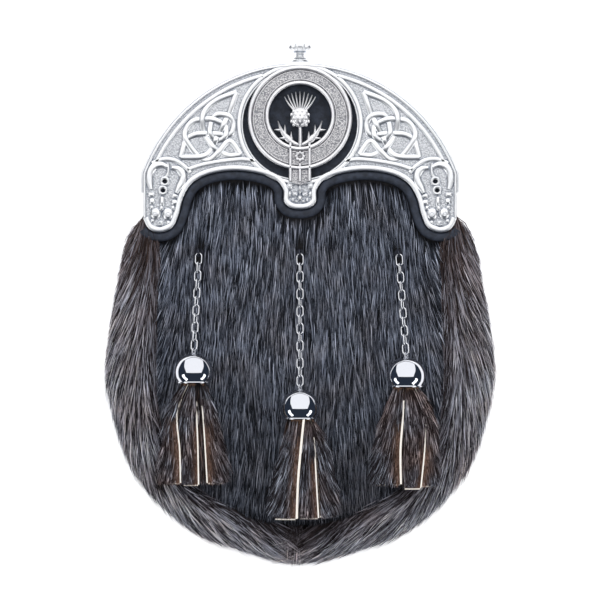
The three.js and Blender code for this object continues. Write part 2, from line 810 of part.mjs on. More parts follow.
function chainDirection(chain, share) {
  const step = 0.01;
  const from = Math.min(Math.max(share - step, 0), 1 - 2 * step);
  return chainPlace(chain, from + 2 * step).sub(chainPlace(chain, from)).normalize();
}

function chainLength(chain) {
  const steps = 40;
  let length = 0;
  for (let index = 0; index < steps; index += 1) {
    length += chainPlace(chain, index / steps).distanceTo(chainPlace(chain, (index + 1) / steps));
  }
  return length;
}

// Turns a shape built along X so that X runs along the chain, after a roll about it
function alongChain(geometry, direction, roll, place) {
  const rolled = new THREE.Quaternion().setFromAxisAngle(new THREE.Vector3(1, 0, 0), roll);
  const turned = new THREE.Quaternion().setFromUnitVectors(new THREE.Vector3(1, 0, 0), direction);
  geometry.applyQuaternion(rolled);
  geometry.applyQuaternion(turned);
  geometry.translate(place.x, place.y, place.z);
  return geometry;
}

function buildLink() {
  const endRadius = (link.width - link.wire) / 2;
  const geometry = new THREE.TorusGeometry(endRadius, link.wire / 2, link.sides, link.segments);
  const stretch = (link.length - link.width) / 2;
  const place = geometry.attributes.position;
  for (let index = 0; index < place.count; index += 1) {
    const x = place.getX(index);
    place.setX(index, x + Math.sign(x) * stretch);
  }
  return geometry;
}

const linkHold = eye.radius - eye.wire / 2 - 0.15 + link.length / 2 - link.wire;

function buildChain(chain) {
  const length = chainLength(chain);
  const pitch = (length - 2 * linkHold) / (chain.links - 1);
  for (let index = 0; index < chain.links; index += 1) {
    const share = (linkHold + pitch * index) / length;
    const roll = THREE.MathUtils.degToRad(link.tilt + (index % 2) * link.turned);
    const number = String(index + 1).padStart(2, '0');
    const geometry = alongChain(buildLink(), chainDirection(chain, share), roll, chainPlace(chain, share));
    addPiece(`${chain.name}_link_${number}`, geometry, colour.chrome, 0.2, 1);
  }
}

function eyeSolid(direction, roll, place) {
  const ring = new THREE.TorusGeometry(eye.radius, eye.wire / 2, 5, 8);
  return toSolid(alongChain(ring, direction, roll, place));
}

function buildAnchor(chain) {
  const place = anchorEye(chain);
  const roll = THREE.MathUtils.degToRad(link.tilt + link.turned);
  const under = panelTop(place.x, place.y) - panel.thickness - clearance - 1;
  const stem = new THREE.CylinderGeometry(0.8, 0.8, place.z - eye.radius - under, 6);
  stem.rotateX(Math.PI / 2);
  stem.translate(place.x, place.y, (place.z - eye.radius + under) / 2);
  const washer = disc(place.x, place.y, 4, 8, under - 0.2, under + 0.8);
  return joinAll([eyeSolid(chainDirection(chain, 0), roll, place), toSolid(stem), washer]);
}

function buildCap(chain) {
  const { radius, height, wall } = cap;
  const profile = [
    [0, 0], [radius * 0.42, -0.7], [radius * 0.8, -3.4], [radius, -8.2],
    [radius * 0.95, -12.2], [radius * 0.86, -height], [radius * 0.86 - wall, -height],
    [radius - wall, -8.4], [radius * 0.6, -3.6], [0, -2.4],
  ].reverse();
  const bell = lathe(profile, 10);
  bell.translate(chain.capX, chain.capTop, hangZ(chain));
  const lastRoll = THREE.MathUtils.degToRad(link.tilt + (chain.links % 2) * link.turned);
  return toSolid(bell).add(eyeSolid(chainDirection(chain, 1), lastRoll, capEye(chain)));
}

// A tassel's levels, as shares of the way from its head to its ends
const tasselLevels = [0, 0.12, 0.5, 1];

// Strips of fur on skin, fused at the head and parted by grooves that deepen towards the ends
function buildTassel(chain) {
  const headY = chain.capTop - 5;
  const rimY = chain.capTop - cap.height;
  const middleZ = hangZ(chain);
  const around = tassel.strips * 4;
  return loft(tasselLevels.map((share, row) => {
    const below = Math.max(0, (share - tasselLevels[1]) / (1 - tasselLevels[1]));
    const flare = below ** 0.75;
    const y = row === 0 ? headY : THREE.MathUtils.lerp(rimY, chain.tasselEnd + tassel.ragged, below);
    const x = THREE.MathUtils.lerp(chain.capX, chain.tasselX, below);
    return Array.from({ length: around }, (unused, index) => {
      const angle = (2 * Math.PI * (index - 0.5)) / around;
      const atGroove = index % 4 === 0 || index % 4 === 3;
      const inset = atGroove ? tassel.groove * below : 0;
      const wide = THREE.MathUtils.lerp(tassel.rimRadius, tassel.halfWidth, flare) - inset;
      const deep = THREE.MathUtils.lerp(tassel.rimRadius, tassel.halfDepth, flare) - inset;
      const shrink = row === 0 ? tassel.headShare : 1;
      const ragged = share === 1 ? tassel.ragged * Math.sin(Math.floor(index / 4) * 2.4) : 0;
      const z = middleZ - 1.2 * below + shrink * deep * Math.sin(angle);
      return new THREE.Vector3(x + shrink * wide * Math.cos(angle), y + ragged, z);
    });
  }));
}

addPiece('cantle_front', toGeometry(buildCantle()), colour.metal, 0.35, 1);
addPiece('back_frame', toGeometry(buildBackFrame()), colour.metal, 0.35, 1);
addPiece('clasp_knob', toGeometry(buildKnob()), colour.metal, 0.3, 1);
addPiece('badge', toGeometry(buildBadge()), colour.badge, 0.4, 1);
addPiece('leather_backing', toGeometry(buildBacking()), colour.blackLeather, 0.6, 0);
addPiece('scallop_piping', toGeometry(buildPiping()), colour.blackLeather, 0.6, 0);
addPiece('gusset', toGeometry(buildGusset()), colour.blackLeather, 0.6, 0);
addPiece('back_panel', toGeometry(buildBackPanel()), colour.blackLeather, 0.6, 0);
addPiece('belt_loop_left', buildLoop(-38), colour.blackLeather, 0.6, 0);
addPiece('belt_loop_right', buildLoop(38), colour.blackLeather, 0.6, 0);
addPiece('fur_front', toGeometry(buildFurFront()), colour.fur, 0.8, 0);
addPiece('fur_ruff', toGeometry(buildRuff()), colour.fur, 0.8, 0);
chains.forEach((chain) => {
  addPiece(`chain_anchor_${chain.name}`, toGeometry(buildAnchor(chain)), colour.chrome, 0.2, 1);
  buildChain(chain);
  addPiece(`cap_${chain.name}`, toGeometry(buildCap(chain)), colour.chrome, 0.06, 1);
  addPiece(`tassel_${chain.name}`, toGeometry(buildTassel(chain)), colour.tassel, 0.8, 0);
});

export default object;
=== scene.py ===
import math

import bpy
import numpy as np
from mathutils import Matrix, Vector
from mathutils.geometry import delaunay_2d_cdt


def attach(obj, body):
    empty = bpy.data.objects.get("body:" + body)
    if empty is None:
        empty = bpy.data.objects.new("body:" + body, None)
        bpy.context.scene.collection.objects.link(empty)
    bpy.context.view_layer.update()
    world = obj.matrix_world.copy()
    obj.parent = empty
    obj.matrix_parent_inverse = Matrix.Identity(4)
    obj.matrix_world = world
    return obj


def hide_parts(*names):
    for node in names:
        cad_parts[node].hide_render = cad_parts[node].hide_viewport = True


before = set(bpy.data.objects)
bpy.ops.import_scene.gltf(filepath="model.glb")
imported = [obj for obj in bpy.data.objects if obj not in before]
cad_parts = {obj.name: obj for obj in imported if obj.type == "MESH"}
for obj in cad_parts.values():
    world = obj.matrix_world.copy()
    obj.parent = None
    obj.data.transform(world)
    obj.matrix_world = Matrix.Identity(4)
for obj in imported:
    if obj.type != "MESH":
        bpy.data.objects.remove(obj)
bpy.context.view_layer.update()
scene = bpy.context.scene
mm = 0.001  # the object's sizes below are in millimetres

# Sizes shared by several pieces
level = {"back": 4.5, "gussetBack": 6.8, "gussetFront": 24.7, "wallBack": 17.9, "frameFront": 26.0,
         "panelEdge": 29.2, "plateBack": 30.0, "ground": 31.5, "badge": 32.9}
arch = {"centreY": 34.8, "radius": 80.0, "halfWidth": 75.2, "lobeTop": 41.0}
window = {"y": 85.9, "halfWidth": 27.4, "halfHeight": 26.4}
seamHalf = [(73.3, 52), (73.2, 46), (71.8, 38), (68.8, 28), (69, 8), (70.5, -30), (69, -54), (64, -73),
            (52.5, -87), (33, -98), (15, -104)]
seamBottom = (0, -105.5)
furHalf = [(78.4, 38), (83, 25), (86, 12), (90.3, -10), (93, -33), (89, -56), (80.2, -79), (60.5, -101.5),
           (42, -113)]
furBottom = (0, -124)
scallopHalf = [(75.2, 40.5), (72.4, 35.3), (66.8, 33.9), (61, 36.4), (58, 43), (55.8, 51), (51.5, 57.6),
               (43.5, 61.8), (32, 63.5), (20.5, 62.3), (12, 59.2), (8.2, 54.4), (7.9, 49), (5, 45.8)]
scallopMiddle = (0, 44.9)


# Lines

def evenly(line, count):
    gaps = np.linalg.norm(np.diff(line, axis=0), axis=1)
    run = np.concatenate([[0], np.cumsum(gaps)])
    steps = np.linspace(0, run[-1], count)
    return np.column_stack([np.interp(steps, run, column) for column in line.T])


def closedEvenly(loop, count):
    return evenly(np.vstack([loop, loop[:1]]), count + 1)[:-1]


def smoothLine(rows, count):  # a curve through the rows, stepped evenly
    rows = np.array(rows, float)
    ends = np.vstack([rows[:1], rows, rows[-1:]])
    t = np.linspace(0, 1, 16, endpoint=False)[:, None]
    parts = []
    for a, b, c, d in zip(ends, ends[1:], ends[2:], ends[3:]):
        parts.append(0.5 * (2 * b + (c - a) * t + (2 * a - 5 * b + 4 * c - d) * t**2
                            + (3 * b - a - 3 * c + d) * t**3))
    return evenly(np.vstack(parts + [rows[-1:]]), count)


def bothSides(half, middle, count):  # from the left end, through the middle, to the right end
    left = [(-x, y) for x, y in half]
    return smoothLine(left + [middle] + half[::-1], count)


def sideOf(line, closed=False):  # unit vectors to a line's right-hand side
    ahead = np.roll(line, -1, 0) - np.roll(line, 1, 0) if closed else np.gradient(line, axis=0)
    ahead = ahead[:, :2] / np.linalg.norm(ahead[:, :2], axis=1)[:, None]
    return np.column_stack([ahead[:, 1], -ahead[:, 0]])


def offsetLine(line, distance, closed=False):  # points that fold over in a tight corner are dropped
    moved = line + distance * sideOf(line, closed)
    nearest = np.array([np.linalg.norm(line - point, axis=1).min() for point in moved])
    kept = moved[nearest > abs(distance) - 0.04]
    if closed:
        return kept
    return evenly(kept, len(line))


def archLine(out, count, endY=arch["lobeTop"]):  # over the top, from the right side to the left
    radius, half = arch["radius"] + out, arch["halfWidth"] + out
    start = math.acos(half / radius)
    turn = np.linspace(start, math.pi - start, count)
    over = np.column_stack([radius * np.cos(turn), arch["centreY"] + radius * np.sin(turn)])
    return evenly(np.vstack([[half, endY], over, [-half, endY]]), count)


def oval(grow, count):
    turn = np.linspace(0, 2 * np.pi, count, endpoint=False)
    return np.column_stack([(window["halfWidth"] + grow) * np.cos(turn),
                            window["y"] + (window["halfHeight"] + grow) * np.sin(turn)])


def circle(x, y, radius, count):
    turn = np.linspace(0, 2 * np.pi, count, endpoint=False)
    return np.column_stack([x + radius * np.cos(turn), y + radius * np.sin(turn)])


def raised(line, height):
    return np.column_stack([line, np.broadcast_to(height, len(line))])


def isInside(points, outline):
    x, y = points[:, 0][:, None], points[:, 1][:, None]
    a, b = outline, np.roll(outline, -1, axis=0)
    crossed = (a[:, 1] > y) != (b[:, 1] > y)
    reach = (b[:, 0] - a[:, 0]) * (y - a[:, 1]) / (b[:, 1] - a[:, 1] + 1e-12) + a[:, 0]
    return np.sum(crossed & (x < reach), axis=1) % 2 == 1


seamLine = bothSides(seamHalf, seamBottom, 400)
furLine = bothSides(furHalf, furBottom, 400)
scallop = bothSides(scallopHalf, scallopMiddle, 420)
cantleEdge = np.vstack([archLine(0, 300), scallop[1:-1]])


# Meshes

def gridFaces(rows, around, wrapRows=False, capped=True):
    steps = rows if wrapRows else rows - 1
    faces = []
    for row in range(steps):
        here, there = row * around, (row + 1) % rows * around
        for side in range(around):
            beside = (side + 1) % around
            faces.append((here + side, here + beside, there + beside, there + side))
    if capped and not wrapRows:
        faces.append(tuple(range(around))[::-1])
        faces.append(tuple(range((rows - 1) * around, rows * around)))
    return faces


def sweep(line, profile, closed=False, widths=None):  # a section (sideways, up) along a line of 3-D points
    side = np.column_stack([sideOf(line, closed), np.zeros(len(line))])
    profile = np.array(profile, float)
    widths = np.ones(len(line)) if widths is None else widths
    across = widths[:, None, None] * profile[None, :, 0, None] * side[:, None, :]
    points = line[:, None, :] + across
    points[:, :, 2] += profile[None, :, 1]
    return points.reshape(-1, 3), gridFaces(len(line), len(profile), closed)


def bead(width, height, soften=0.6, low=0.3):  # a raised line's section, softened at its top corners
    half = width / 2
    turn = np.linspace(0, np.pi / 2, 4)
    corner = min(half, height) * soften
    right = [(half - corner + corner * math.cos(t), height - corner + corner * math.sin(t)) for t in turn]
    left = [(-x, z) for x, z in right[::-1]]
    return [(half, -low)] + right + left + [(-half, -low)]


def strandSection(width, height, low=0.3):
    turn = np.linspace(0, np.pi, 9)
    return ([(width / 2, -low)] + [(width / 2 * math.cos(t), height * math.sin(t) ** 0.5) for t in turn]
            + [(-width / 2, -low)])


def blob(x, y, z, across, along, up, turn=0.0, rings=8, sides=14):  # a rounded lump
    around = np.linspace(0, 2 * np.pi, sides, endpoint=False)
    rise = np.linspace(-np.pi / 2, np.pi / 2, rings + 2)[1:-1]
    rows = [[(across * np.cos(b) * np.cos(a), along * np.cos(b) * np.sin(a), up * np.sin(b)) for a in around]
            for b in rise]
    points = np.array(rows).reshape(-1, 3)
    cos, sin = math.cos(turn), math.sin(turn)
    points = points @ np.array([[cos, sin, 0], [-sin, cos, 0], [0, 0, 1]])
    return points + (x, y, z), gridFaces(rings, sides)


def flatFaces(outline, holes=(), spacing=None):  # triangles inside an outline, with the points that they use
    loops = [outline, *holes]
    points = np.vstack(loops)
    edges, start = [], 0
    for loop in loops:
        count = len(loop)
        edges += [(start + step, start + (step + 1) % count) for step in range(count)]
        start += count
    if spacing:
        low, high = outline.min(0), outline.max(0)
        grid = np.array([(x, y) for x in np.arange(low[0], high[0], spacing)
                         for y in np.arange(low[1], high[1], spacing)])
        near = np.array([np.linalg.norm(points - place, axis=1).min() for place in grid])
        grid = grid[isInside(grid, outline) & (near > spacing * 0.5)]
        points = np.vstack([points, grid])
    result = delaunay_2d_cdt([Vector(point) for point in points], edges, [], 1, 1e-6)
    flat = np.array([tuple(point) for point in result[0]])
    faces = np.array([tuple(face) for face in result[2]])
    middle = flat[faces].mean(axis=1)
    keep = isInside(middle, outline)
    for hole in holes:
        keep &= ~isInside(middle, hole)
    return flat, faces[keep]


def heightsAt(height, place):  # a height is a number, or a function of x and y
    if callable(height):
        return height(place[:, 0], place[:, 1])
    return np.full(len(place), float(height))


def slabBody(outline, low, high, holes=(), spacing=None, edge=0.0):  # edge rounds the outline's two edges
    inner = offsetLine(outline, -edge, True) if edge else outline
    flat, faces = flatFaces(inner, holes, spacing)
    count = len(flat)
    top = np.column_stack([flat, heightsAt(high, flat)])
    bottom = np.column_stack([flat, heightsAt(low, flat)])
    points = [top, bottom]
    allFaces = [tuple(face) for face in faces] + [tuple(face[::-1] + count) for face in faces]
    start = 2 * count
    for loop in [outline, *holes]:
        rise, fall = heightsAt(high, loop), heightsAt(low, loop)
        if edge and loop is outline:
            corner = edge * 0.3
            near = offsetLine(loop, -corner, True)
            loops = [np.column_stack([inner, heightsAt(high, inner)]),
                     np.column_stack([near, heightsAt(high, near) - corner]),
                     np.column_stack([loop, rise - edge]), np.column_stack([loop, fall + edge]),
                     np.column_stack([near, heightsAt(low, near) + corner]),
                     np.column_stack([inner, heightsAt(low, inner)])]
            loops = [closedEvenly(row, len(loop)) for row in loops]
        else:
            loops = [np.column_stack([loop, rise]), np.column_stack([loop, fall])]
        points += loops
        wallFaces = gridFaces(len(loops), len(loop), capped=False)
        allFaces += [tuple(start + i for i in face) for face in wallFaces]
        start += len(loops) * len(loop)
    return np.vstack(points), allFaces


def linkPiece(name, mesh, nodes=(), body="pouch"):
    piece = bpy.data.objects.new(name, mesh)
    scene.collection.objects.link(piece)
    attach(piece, body)
    if nodes:
        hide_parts(*nodes)


# Each part is its points, its faces and which finish it has
def addPiece(name, parts, finishes, nodes=(), body="pouch", sharp=40):
    points = np.vstack([part[0] for part in parts]) * mm
    faces, picks, start = [], [], 0
    for part in parts:
        faces += [tuple(start + int(i) for i in face) for face in part[1]]
        picks += [part[2] if len(part) > 2 else 0] * len(part[1])
        start += len(part[0])
    mesh = bpy.data.meshes.new(name)
    mesh.from_pydata(points.tolist(), [], faces)
    for finish in finishes:
        mesh.materials.append(finish)
    mesh.polygons.foreach_set("material_index", picks)
    mesh.validate()
    mesh.shade_smooth()
    mesh.set_sharp_from_angle(angle=math.radians(sharp))
    linkPiece(name, mesh, nodes, body)


hairShape = {"roll": 0.8, "rollStep": 12.9898, "taper": ([0, 0.35, 0.75, 1], [0.7, 1, 0.7, 0.1])}


def addHair(name, paths, ups, widths, strandTone, clumpTone, warmth, finish, slot):
    count, levels = paths.shape[:2]
    rolls = np.sin(np.arange(count) * hairShape["rollStep"]) * hairShape["roll"]  # about each hair's own line
    ahead = paths[:, -1] - paths[:, 0]
    side = np.cross(ahead, ups)
    side /= np.linalg.norm(side, axis=1)[:, None] + 1e-9
    side = side * np.cos(rolls)[:, None] + ups * np.sin(rolls)[:, None]
    taper = np.interp(np.linspace(0, 1, levels)[:-1], *hairShape["taper"])
    shift = side[:, None, :] * (widths[:, None] * taper[None, :] / 2)[:, :, None]
    pairs = np.stack([paths[:, :-1] - shift, paths[:, :-1] + shift], axis=2).reshape(count, -1, 3)
    points = np.concatenate([pairs, paths[:, -1:]], axis=1)
    each = points.shape[1]
    quads = [(2 * k, 2 * k + 1, 2 * k + 3, 2 * k + 2) for k in range(levels - 2)]
    pattern = [i for quad in quads for i in quad] + [each - 3, each - 2, each - 1]
    starts = [4 * k for k in range(levels - 1)]
    loops = (np.arange(count)[:, None] * each + np.array(pattern)).ravel()
    begins = (np.arange(count)[:, None] * len(pattern) + np.array(starts)).ravel()
    mesh = bpy.data.meshes.new(name)
    mesh.vertices.add(count * each)
    mesh.loops.add(len(loops))
    mesh.polygons.add(len(begins))
    mesh.vertices.foreach_set("co", (points.reshape(-1, 3) * mm).ravel())
    mesh.loops.foreach_set("vertex_index", loops)
    mesh.polygons.foreach_set("loop_start", begins)
    along = np.repeat(np.linspace(0, 1, levels)[:-1], 2).tolist() + [1]
    tone = np.ones((count, each, 4))
    tone[:, :, 0] = strandTone[:, None]
    tone[:, :, 1] = along
    tone[:, :, 2] = clumpTone[:, None]
    tone[:, :, 3] = warmth[:, None]
    mesh.attributes.new("tone", "FLOAT_COLOR", "POINT").data.foreach_set("color", tone.ravel())
    mesh.update(calc_edges=True)
    mesh.shade_smooth()
    mesh.materials.append(finish)
    linkPiece(name, mesh)


# Finishes

def addNode(tree, kind, inputs=None, **settings):
    node = tree.nodes.new(kind)
    for key, value in settings.items():
        setattr(node, key, value)
    for key, value in (inputs or {}).items():
        if isinstance(value, bpy.types.NodeSocket):
            tree.links.new(value, node.inputs[key])
        else:
            node.inputs[key].default_value = value
    return node


def startFinish(name, **values):
    material = bpy.data.materials.new(name)
    material.use_nodes = True
    tree = material.node_tree
    shader = tree.nodes["Principled BSDF"]
    for key, value in values.items():
        shader.inputs[key].default_value = value
    place = addNode(tree, "ShaderNodeTexCoord").outputs["Object"]
    return material, tree, shader, place


def ramp(tree, factor, stops):
    node = addNode(tree, "ShaderNodeValToRGB", {0: factor})
    while len(node.color_ramp.elements) < len(stops):
        node.color_ramp.elements.new(0.5)
    for element, (position, colour) in zip(node.color_ramp.elements, stops):
        element.position = position
        element.color = (*colour, 1)
    return node.outputs[0]


def mixed(tree, factor, first, second, blend="MIX"):
    node = addNode(tree, "ShaderNodeMix", {0: factor}, data_type="RGBA", blend_type=blend)
    for index, colour in ((6, first), (7, second)):
        if isinstance(colour, bpy.types.NodeSocket):
            tree.links.new(colour, node.inputs[index])
        else:
            node.inputs[index].default_value = (*colour, 1)
    return node.outputs[2]


metal = {"recessShade": 1.0, "wear": 0.12, "wearScale": 260, "stippleScale": 1500, "stippleDepth": 0.25}


def addBump(tree, shader, height, strength, depth, invert=False):
    bump = addNode(tree, "ShaderNodeBump", {"Height": height, "Strength": strength, "Distance": depth * mm},
                   invert=invert)
    tree.links.new(bump.outputs[0], shader.inputs["Normal"])


# Painted shade in the hollows from ambient occlusion, partly standing for the cast metal's oxide there;
# bright where it is rubbed
def metalFinish(name, bright, dark, roughness, stipple=0.0):
    material, tree, shader, place = startFinish(name, Metallic=1.0, Roughness=roughness)
    # painted shade: the ambient occlusion darkens the colour in the hollows
    shade = addNode(tree, "ShaderNodeAmbientOcclusion", {"Distance": metal["recessShade"] * mm}, samples=6)
    recessShade = ramp(tree, shade.outputs["AO"], [(0.45, dark), (0.85, bright)])
    wear = addNode(tree, "ShaderNodeTexNoise", {"Vector": place, "Scale": metal["wearScale"], "Detail": 4})
    worn = ramp(tree, wear.outputs[0], [(0.3, dark), (0.62, bright)])
    colour = mixed(tree, metal["wear"], recessShade, worn)
    if stipple:
        dots = addNode(tree, "ShaderNodeTexVoronoi", {"Vector": place, "Scale": metal["stippleScale"]})
        pits = ramp(tree, dots.outputs["Distance"], [(0.2, (1, 1, 1)), (0.75, (0.3, 0.31, 0.34))])
        colour = mixed(tree, stipple, colour, mixed(tree, 1.0, colour, pits, "MULTIPLY"))
        addBump(tree, shader, dots.outputs["Distance"], 0.55, metal["stippleDepth"], invert=True)
    tree.links.new(colour, shader.inputs["Base Color"])
    return material


def leatherFinish(name, colour, grain=1100, roughness=0.5):
    material, tree, shader, place = startFinish(name, Roughness=roughness)
    cells = addNode(tree, "ShaderNodeTexVoronoi", {"Vector": place, "Scale": grain})
    creases = addNode(tree, "ShaderNodeTexNoise", {"Vector": place, "Scale": grain * 0.35, "Detail": 5})
    height = addNode(tree, "ShaderNodeMath", {0: cells.outputs["Distance"], 1: creases.outputs[0]},
                     operation="ADD")
    specks = ramp(tree, creases.outputs[0], [(0.35, tuple(c * 0.7 for c in colour)),
                                             (0.7, tuple(c * 1.6 for c in colour))])
    tree.links.new(specks, shader.inputs["Base Color"])
    addBump(tree, shader, height.outputs[0], 0.5, 0.2)
    return material


def hairFinish(name, stops, warm, root, fade=None):  # the tone holds strand, place along it, clump and brown
    material, tree, shader, place = startFinish(name, **{"Roughness": 0.5, "Specular IOR Level": 0.12})
    tone = addNode(tree, "ShaderNodeAttribute", attribute_name="tone")
    split = addNode(tree, "ShaderNodeSeparateColor", {0: tone.outputs["Color"]})
    colour = ramp(tree, split.outputs[0], stops)
    clumps = addNode(tree, "ShaderNodeMapRange", {0: split.outputs[2], 3: 0.6, 4: 1.3})
    colour = mixed(tree, 1.0, colour, clumps.outputs[0], "MULTIPLY")
    patches = addNode(tree, "ShaderNodeTexNoise", {"Vector": place, "Scale": 55, "Detail": 3})
    brown = addNode(tree, "ShaderNodeMapRange", {0: patches.outputs[0], 1: 0.42, 2: 0.68, 3: 0.0, 4: 0.75})
    colour = mixed(tree, brown.outputs[0], colour, mixed(tree, 1.0, colour, warm, "MULTIPLY"))
    if fade:  # darker towards the lower end
        apart = addNode(tree, "ShaderNodeSeparateXYZ", {0: place})
        lower = addNode(tree, "ShaderNodeMapRange", {0: apart.outputs[1], 1: fade["from"] * mm,
                                                     2: fade["to"] * mm, 3: fade["darkest"], 4: 1.0})
        colour = mixed(tree, 1.0, colour, lower.outputs[0], "MULTIPLY")
    # darker towards the root: painted shade deep in the pile, and partly the hair's own darker base
    deep = addNode(tree, "ShaderNodeMapRange", {0: split.outputs[1], 1: 0.0, 2: 0.4, 3: 1.0, 4: 0.0})
    colour = mixed(tree, deep.outputs[0], colour, root)
    underhair = ramp(tree, split.outputs[0], [(0.0, (0.06, 0.034, 0.025)), (1.0, (0.38, 0.225, 0.16))])
    colour = mixed(tree, tone.outputs["Alpha"], colour, underhair)
    tree.links.new(colour, shader.inputs["Base Color"])
    return material


def plainFinish(name, light, dark, scale, roughness, bumpDepth=0.15, **values):
    material, tree, shader, place = startFinish(name, Roughness=roughness, **values)
    noise = addNode(tree, "ShaderNodeTexNoise", {"Vector": place, "Scale": scale, "Detail": 5})
    colour = ramp(tree, noise.outputs[0], [(0.3, dark), (0.7, light)])
    tree.links.new(colour, shader.inputs["Base Color"])
    addBump(tree, shader, noise.outputs[0], 0.4, bumpDepth)
    return material


silverGround = metalFinish("stippledSilver", (0.97, 0.98, 1.0), (0.38, 0.42, 0.5), 0.42, stipple=0.6)
silver = metalFinish("polishedSilver", (0.99, 0.995, 1.0), (0.42, 0.46, 0.54), 0.33)
pewterGround = metalFinish("stippledPewter", (0.92, 0.9, 0.9), (0.16, 0.15, 0.17), 0.45, stipple=0.9)
pewter = metalFinish("castPewter", (0.97, 0.96, 0.97), (0.18, 0.18, 0.21), 0.36)
chrome = metalFinish("mirrorChrome", (0.86, 0.87, 0.9), (0.8, 0.81, 0.84), 0.04)
capChrome = metalFinish("capChrome", (0.66, 0.67, 0.71), (0.6, 0.61, 0.65), 0.04)
# the anchors are coloured near black as painted shade for the hole in the fur where each chain comes out
paintedHoleShade = metalFinish("paintedHoleShade", (0.07, 0.075, 0.095), (0.02, 0.02, 0.03), 0.4)
blackLeather = leatherFinish("blackLeather", (0.028, 0.035, 0.053), roughness=0.7)
rearLeather = leatherFinish("rearLeather", (0.02, 0.02, 0.023), grain=700, roughness=0.42)
thread = plainFinish("waxedThread", (0.09, 0.09, 0.1), (0.03, 0.03, 0.035), 3000, 0.6, 0.1)
paintedHideGlow = {"Emission Color": (1.0, 0.93, 0.83, 1), "Emission Strength": 0.28}  # painted glow that brightens the hide, though it is no lamp
hide = plainFinish("cutHide", (1.0, 0.97, 0.91), (0.98, 0.9, 0.8), 900, 0.85, **paintedHideGlow)
underfur = plainFinish("brownUnderfur", (0.2, 0.11, 0.065), (0.07, 0.038, 0.027), 1600, 0.9, 0.5)
darkSkin = plainFinish("darkUnderfur", (0.022, 0.02, 0.022), (0.008, 0.008, 0.01), 900, 0.9, 0.4)
# The palest stops of the hair ramps are partly pale guard hairs and partly painted highlight, since the hair
# finish keeps its own specular low
frontHair = hairFinish("frontHair", [(0.0, (0.008, 0.009, 0.012)), (0.4, (0.023, 0.027, 0.037)),
                                     (0.62, (0.105, 0.122, 0.165)), (0.8, (0.27, 0.3, 0.385)),
                                     (1.0, (0.58, 0.63, 0.76))],
                       (1.05, 0.93, 0.84), (0.006, 0.007, 0.009),
                       fade={"from": -105, "to": -15, "darkest": 0.55})
ruffHair = hairFinish("ruffHair", [(0.0, (0.009, 0.008, 0.01)), (0.38, (0.024, 0.021, 0.026)),
                                   (0.6, (0.135, 0.137, 0.168)), (0.8, (0.58, 0.6, 0.7)),
                                   (1.0, (1.0, 1.0, 1.0))],
                      (1.1, 0.93, 0.85), (0.014, 0.01, 0.01))
tasselHair = hairFinish("tasselHair", [(0.0, (0.01, 0.008, 0.009)), (0.42, (0.027, 0.022, 0.025)),
                                       (0.7, (0.11, 0.107, 0.128)), (0.88, (0.34, 0.36, 0.43)),
                                       (1.0, (0.75, 0.8, 0.92))],
                        (1.3, 0.86, 0.64), (0.012, 0.008, 0.007))
print("finishes made")


# Camera, floor and light, in metres

view = {"height": 2.0, "span": 0.288, "middleY": 1.44 * mm, "sensor": 36}
camera = bpy.data.objects.new("camera", bpy.data.cameras.new("camera"))
camera.location = (0, view["middleY"], view["height"])
camera.data.sensor_width = view["sensor"]
camera.data.lens = view["sensor"] * (view["height"] - level["ground"] * mm) / view["span"]
camera.data.clip_end = 20
scene.collection.objects.link(camera)
scene.camera = camera
scene.view_settings.view_transform = "Standard"

lamps = [  # the top panel slopes from low beyond the knob up to just past the camera
    {"name": "topPanel", "at": (0, 0.9, 1.05), "size": (2.8, 2.75), "power": 31},
    {"name": "leftHighlight", "at": (-0.92, -0.6, 0.78), "size": (0.8, 0.34), "power": 3},
    {"name": "rightHighlight", "at": (0.92, -0.6, 0.78), "size": (0.8, 0.34), "power": 3},
]
for lamp in lamps:
    light = bpy.data.lights.new(lamp["name"], "AREA")
    light.shape = "RECTANGLE"
    light.size, light.size_y = lamp["size"]
    light.energy = lamp["power"]
    lightObject = bpy.data.objects.new(lamp["name"], light)
    lightObject.location = lamp["at"]
    lightObject.rotation_euler = (-Vector(lamp["at"])).to_track_quat("-Z", "Y").to_euler()
    lightObject.visible_camera = False
    scene.collection.objects.link(lightObject)
world = bpy.data.worlds.new("studio")
world.use_nodes = True
world.node_tree.nodes["Background"].inputs[0].default_value = (0.03, 0.04, 0.06, 1)
world.node_tree.nodes["Background"].inputs[1].default_value = 1.0
scene.world = world

paleFloor = {"Base Color": (0.93, 0.93, 0.94, 1), "Roughness": 0.9, "Emission Color": (1, 1, 1, 1),
             "Emission Strength": 0.7}
floorReach = 4.0
floorCorners = [(x * floorReach, y * floorReach, 0) for x, y in ((-1, -1), (1, -1), (1, 1), (-1, 1))]
floorMesh = bpy.data.meshes.new("floor")
floorMesh.from_pydata(floorCorners, [], [(0, 1, 2, 3)])
floorMesh.materials.append(startFinish("paleFloor", **paleFloor)[0])
floor = bpy.data.objects.new("floor", floorMesh)
scene.collection.objects.link(floor)
print("camera, floor and light set")


# The cantle's casting

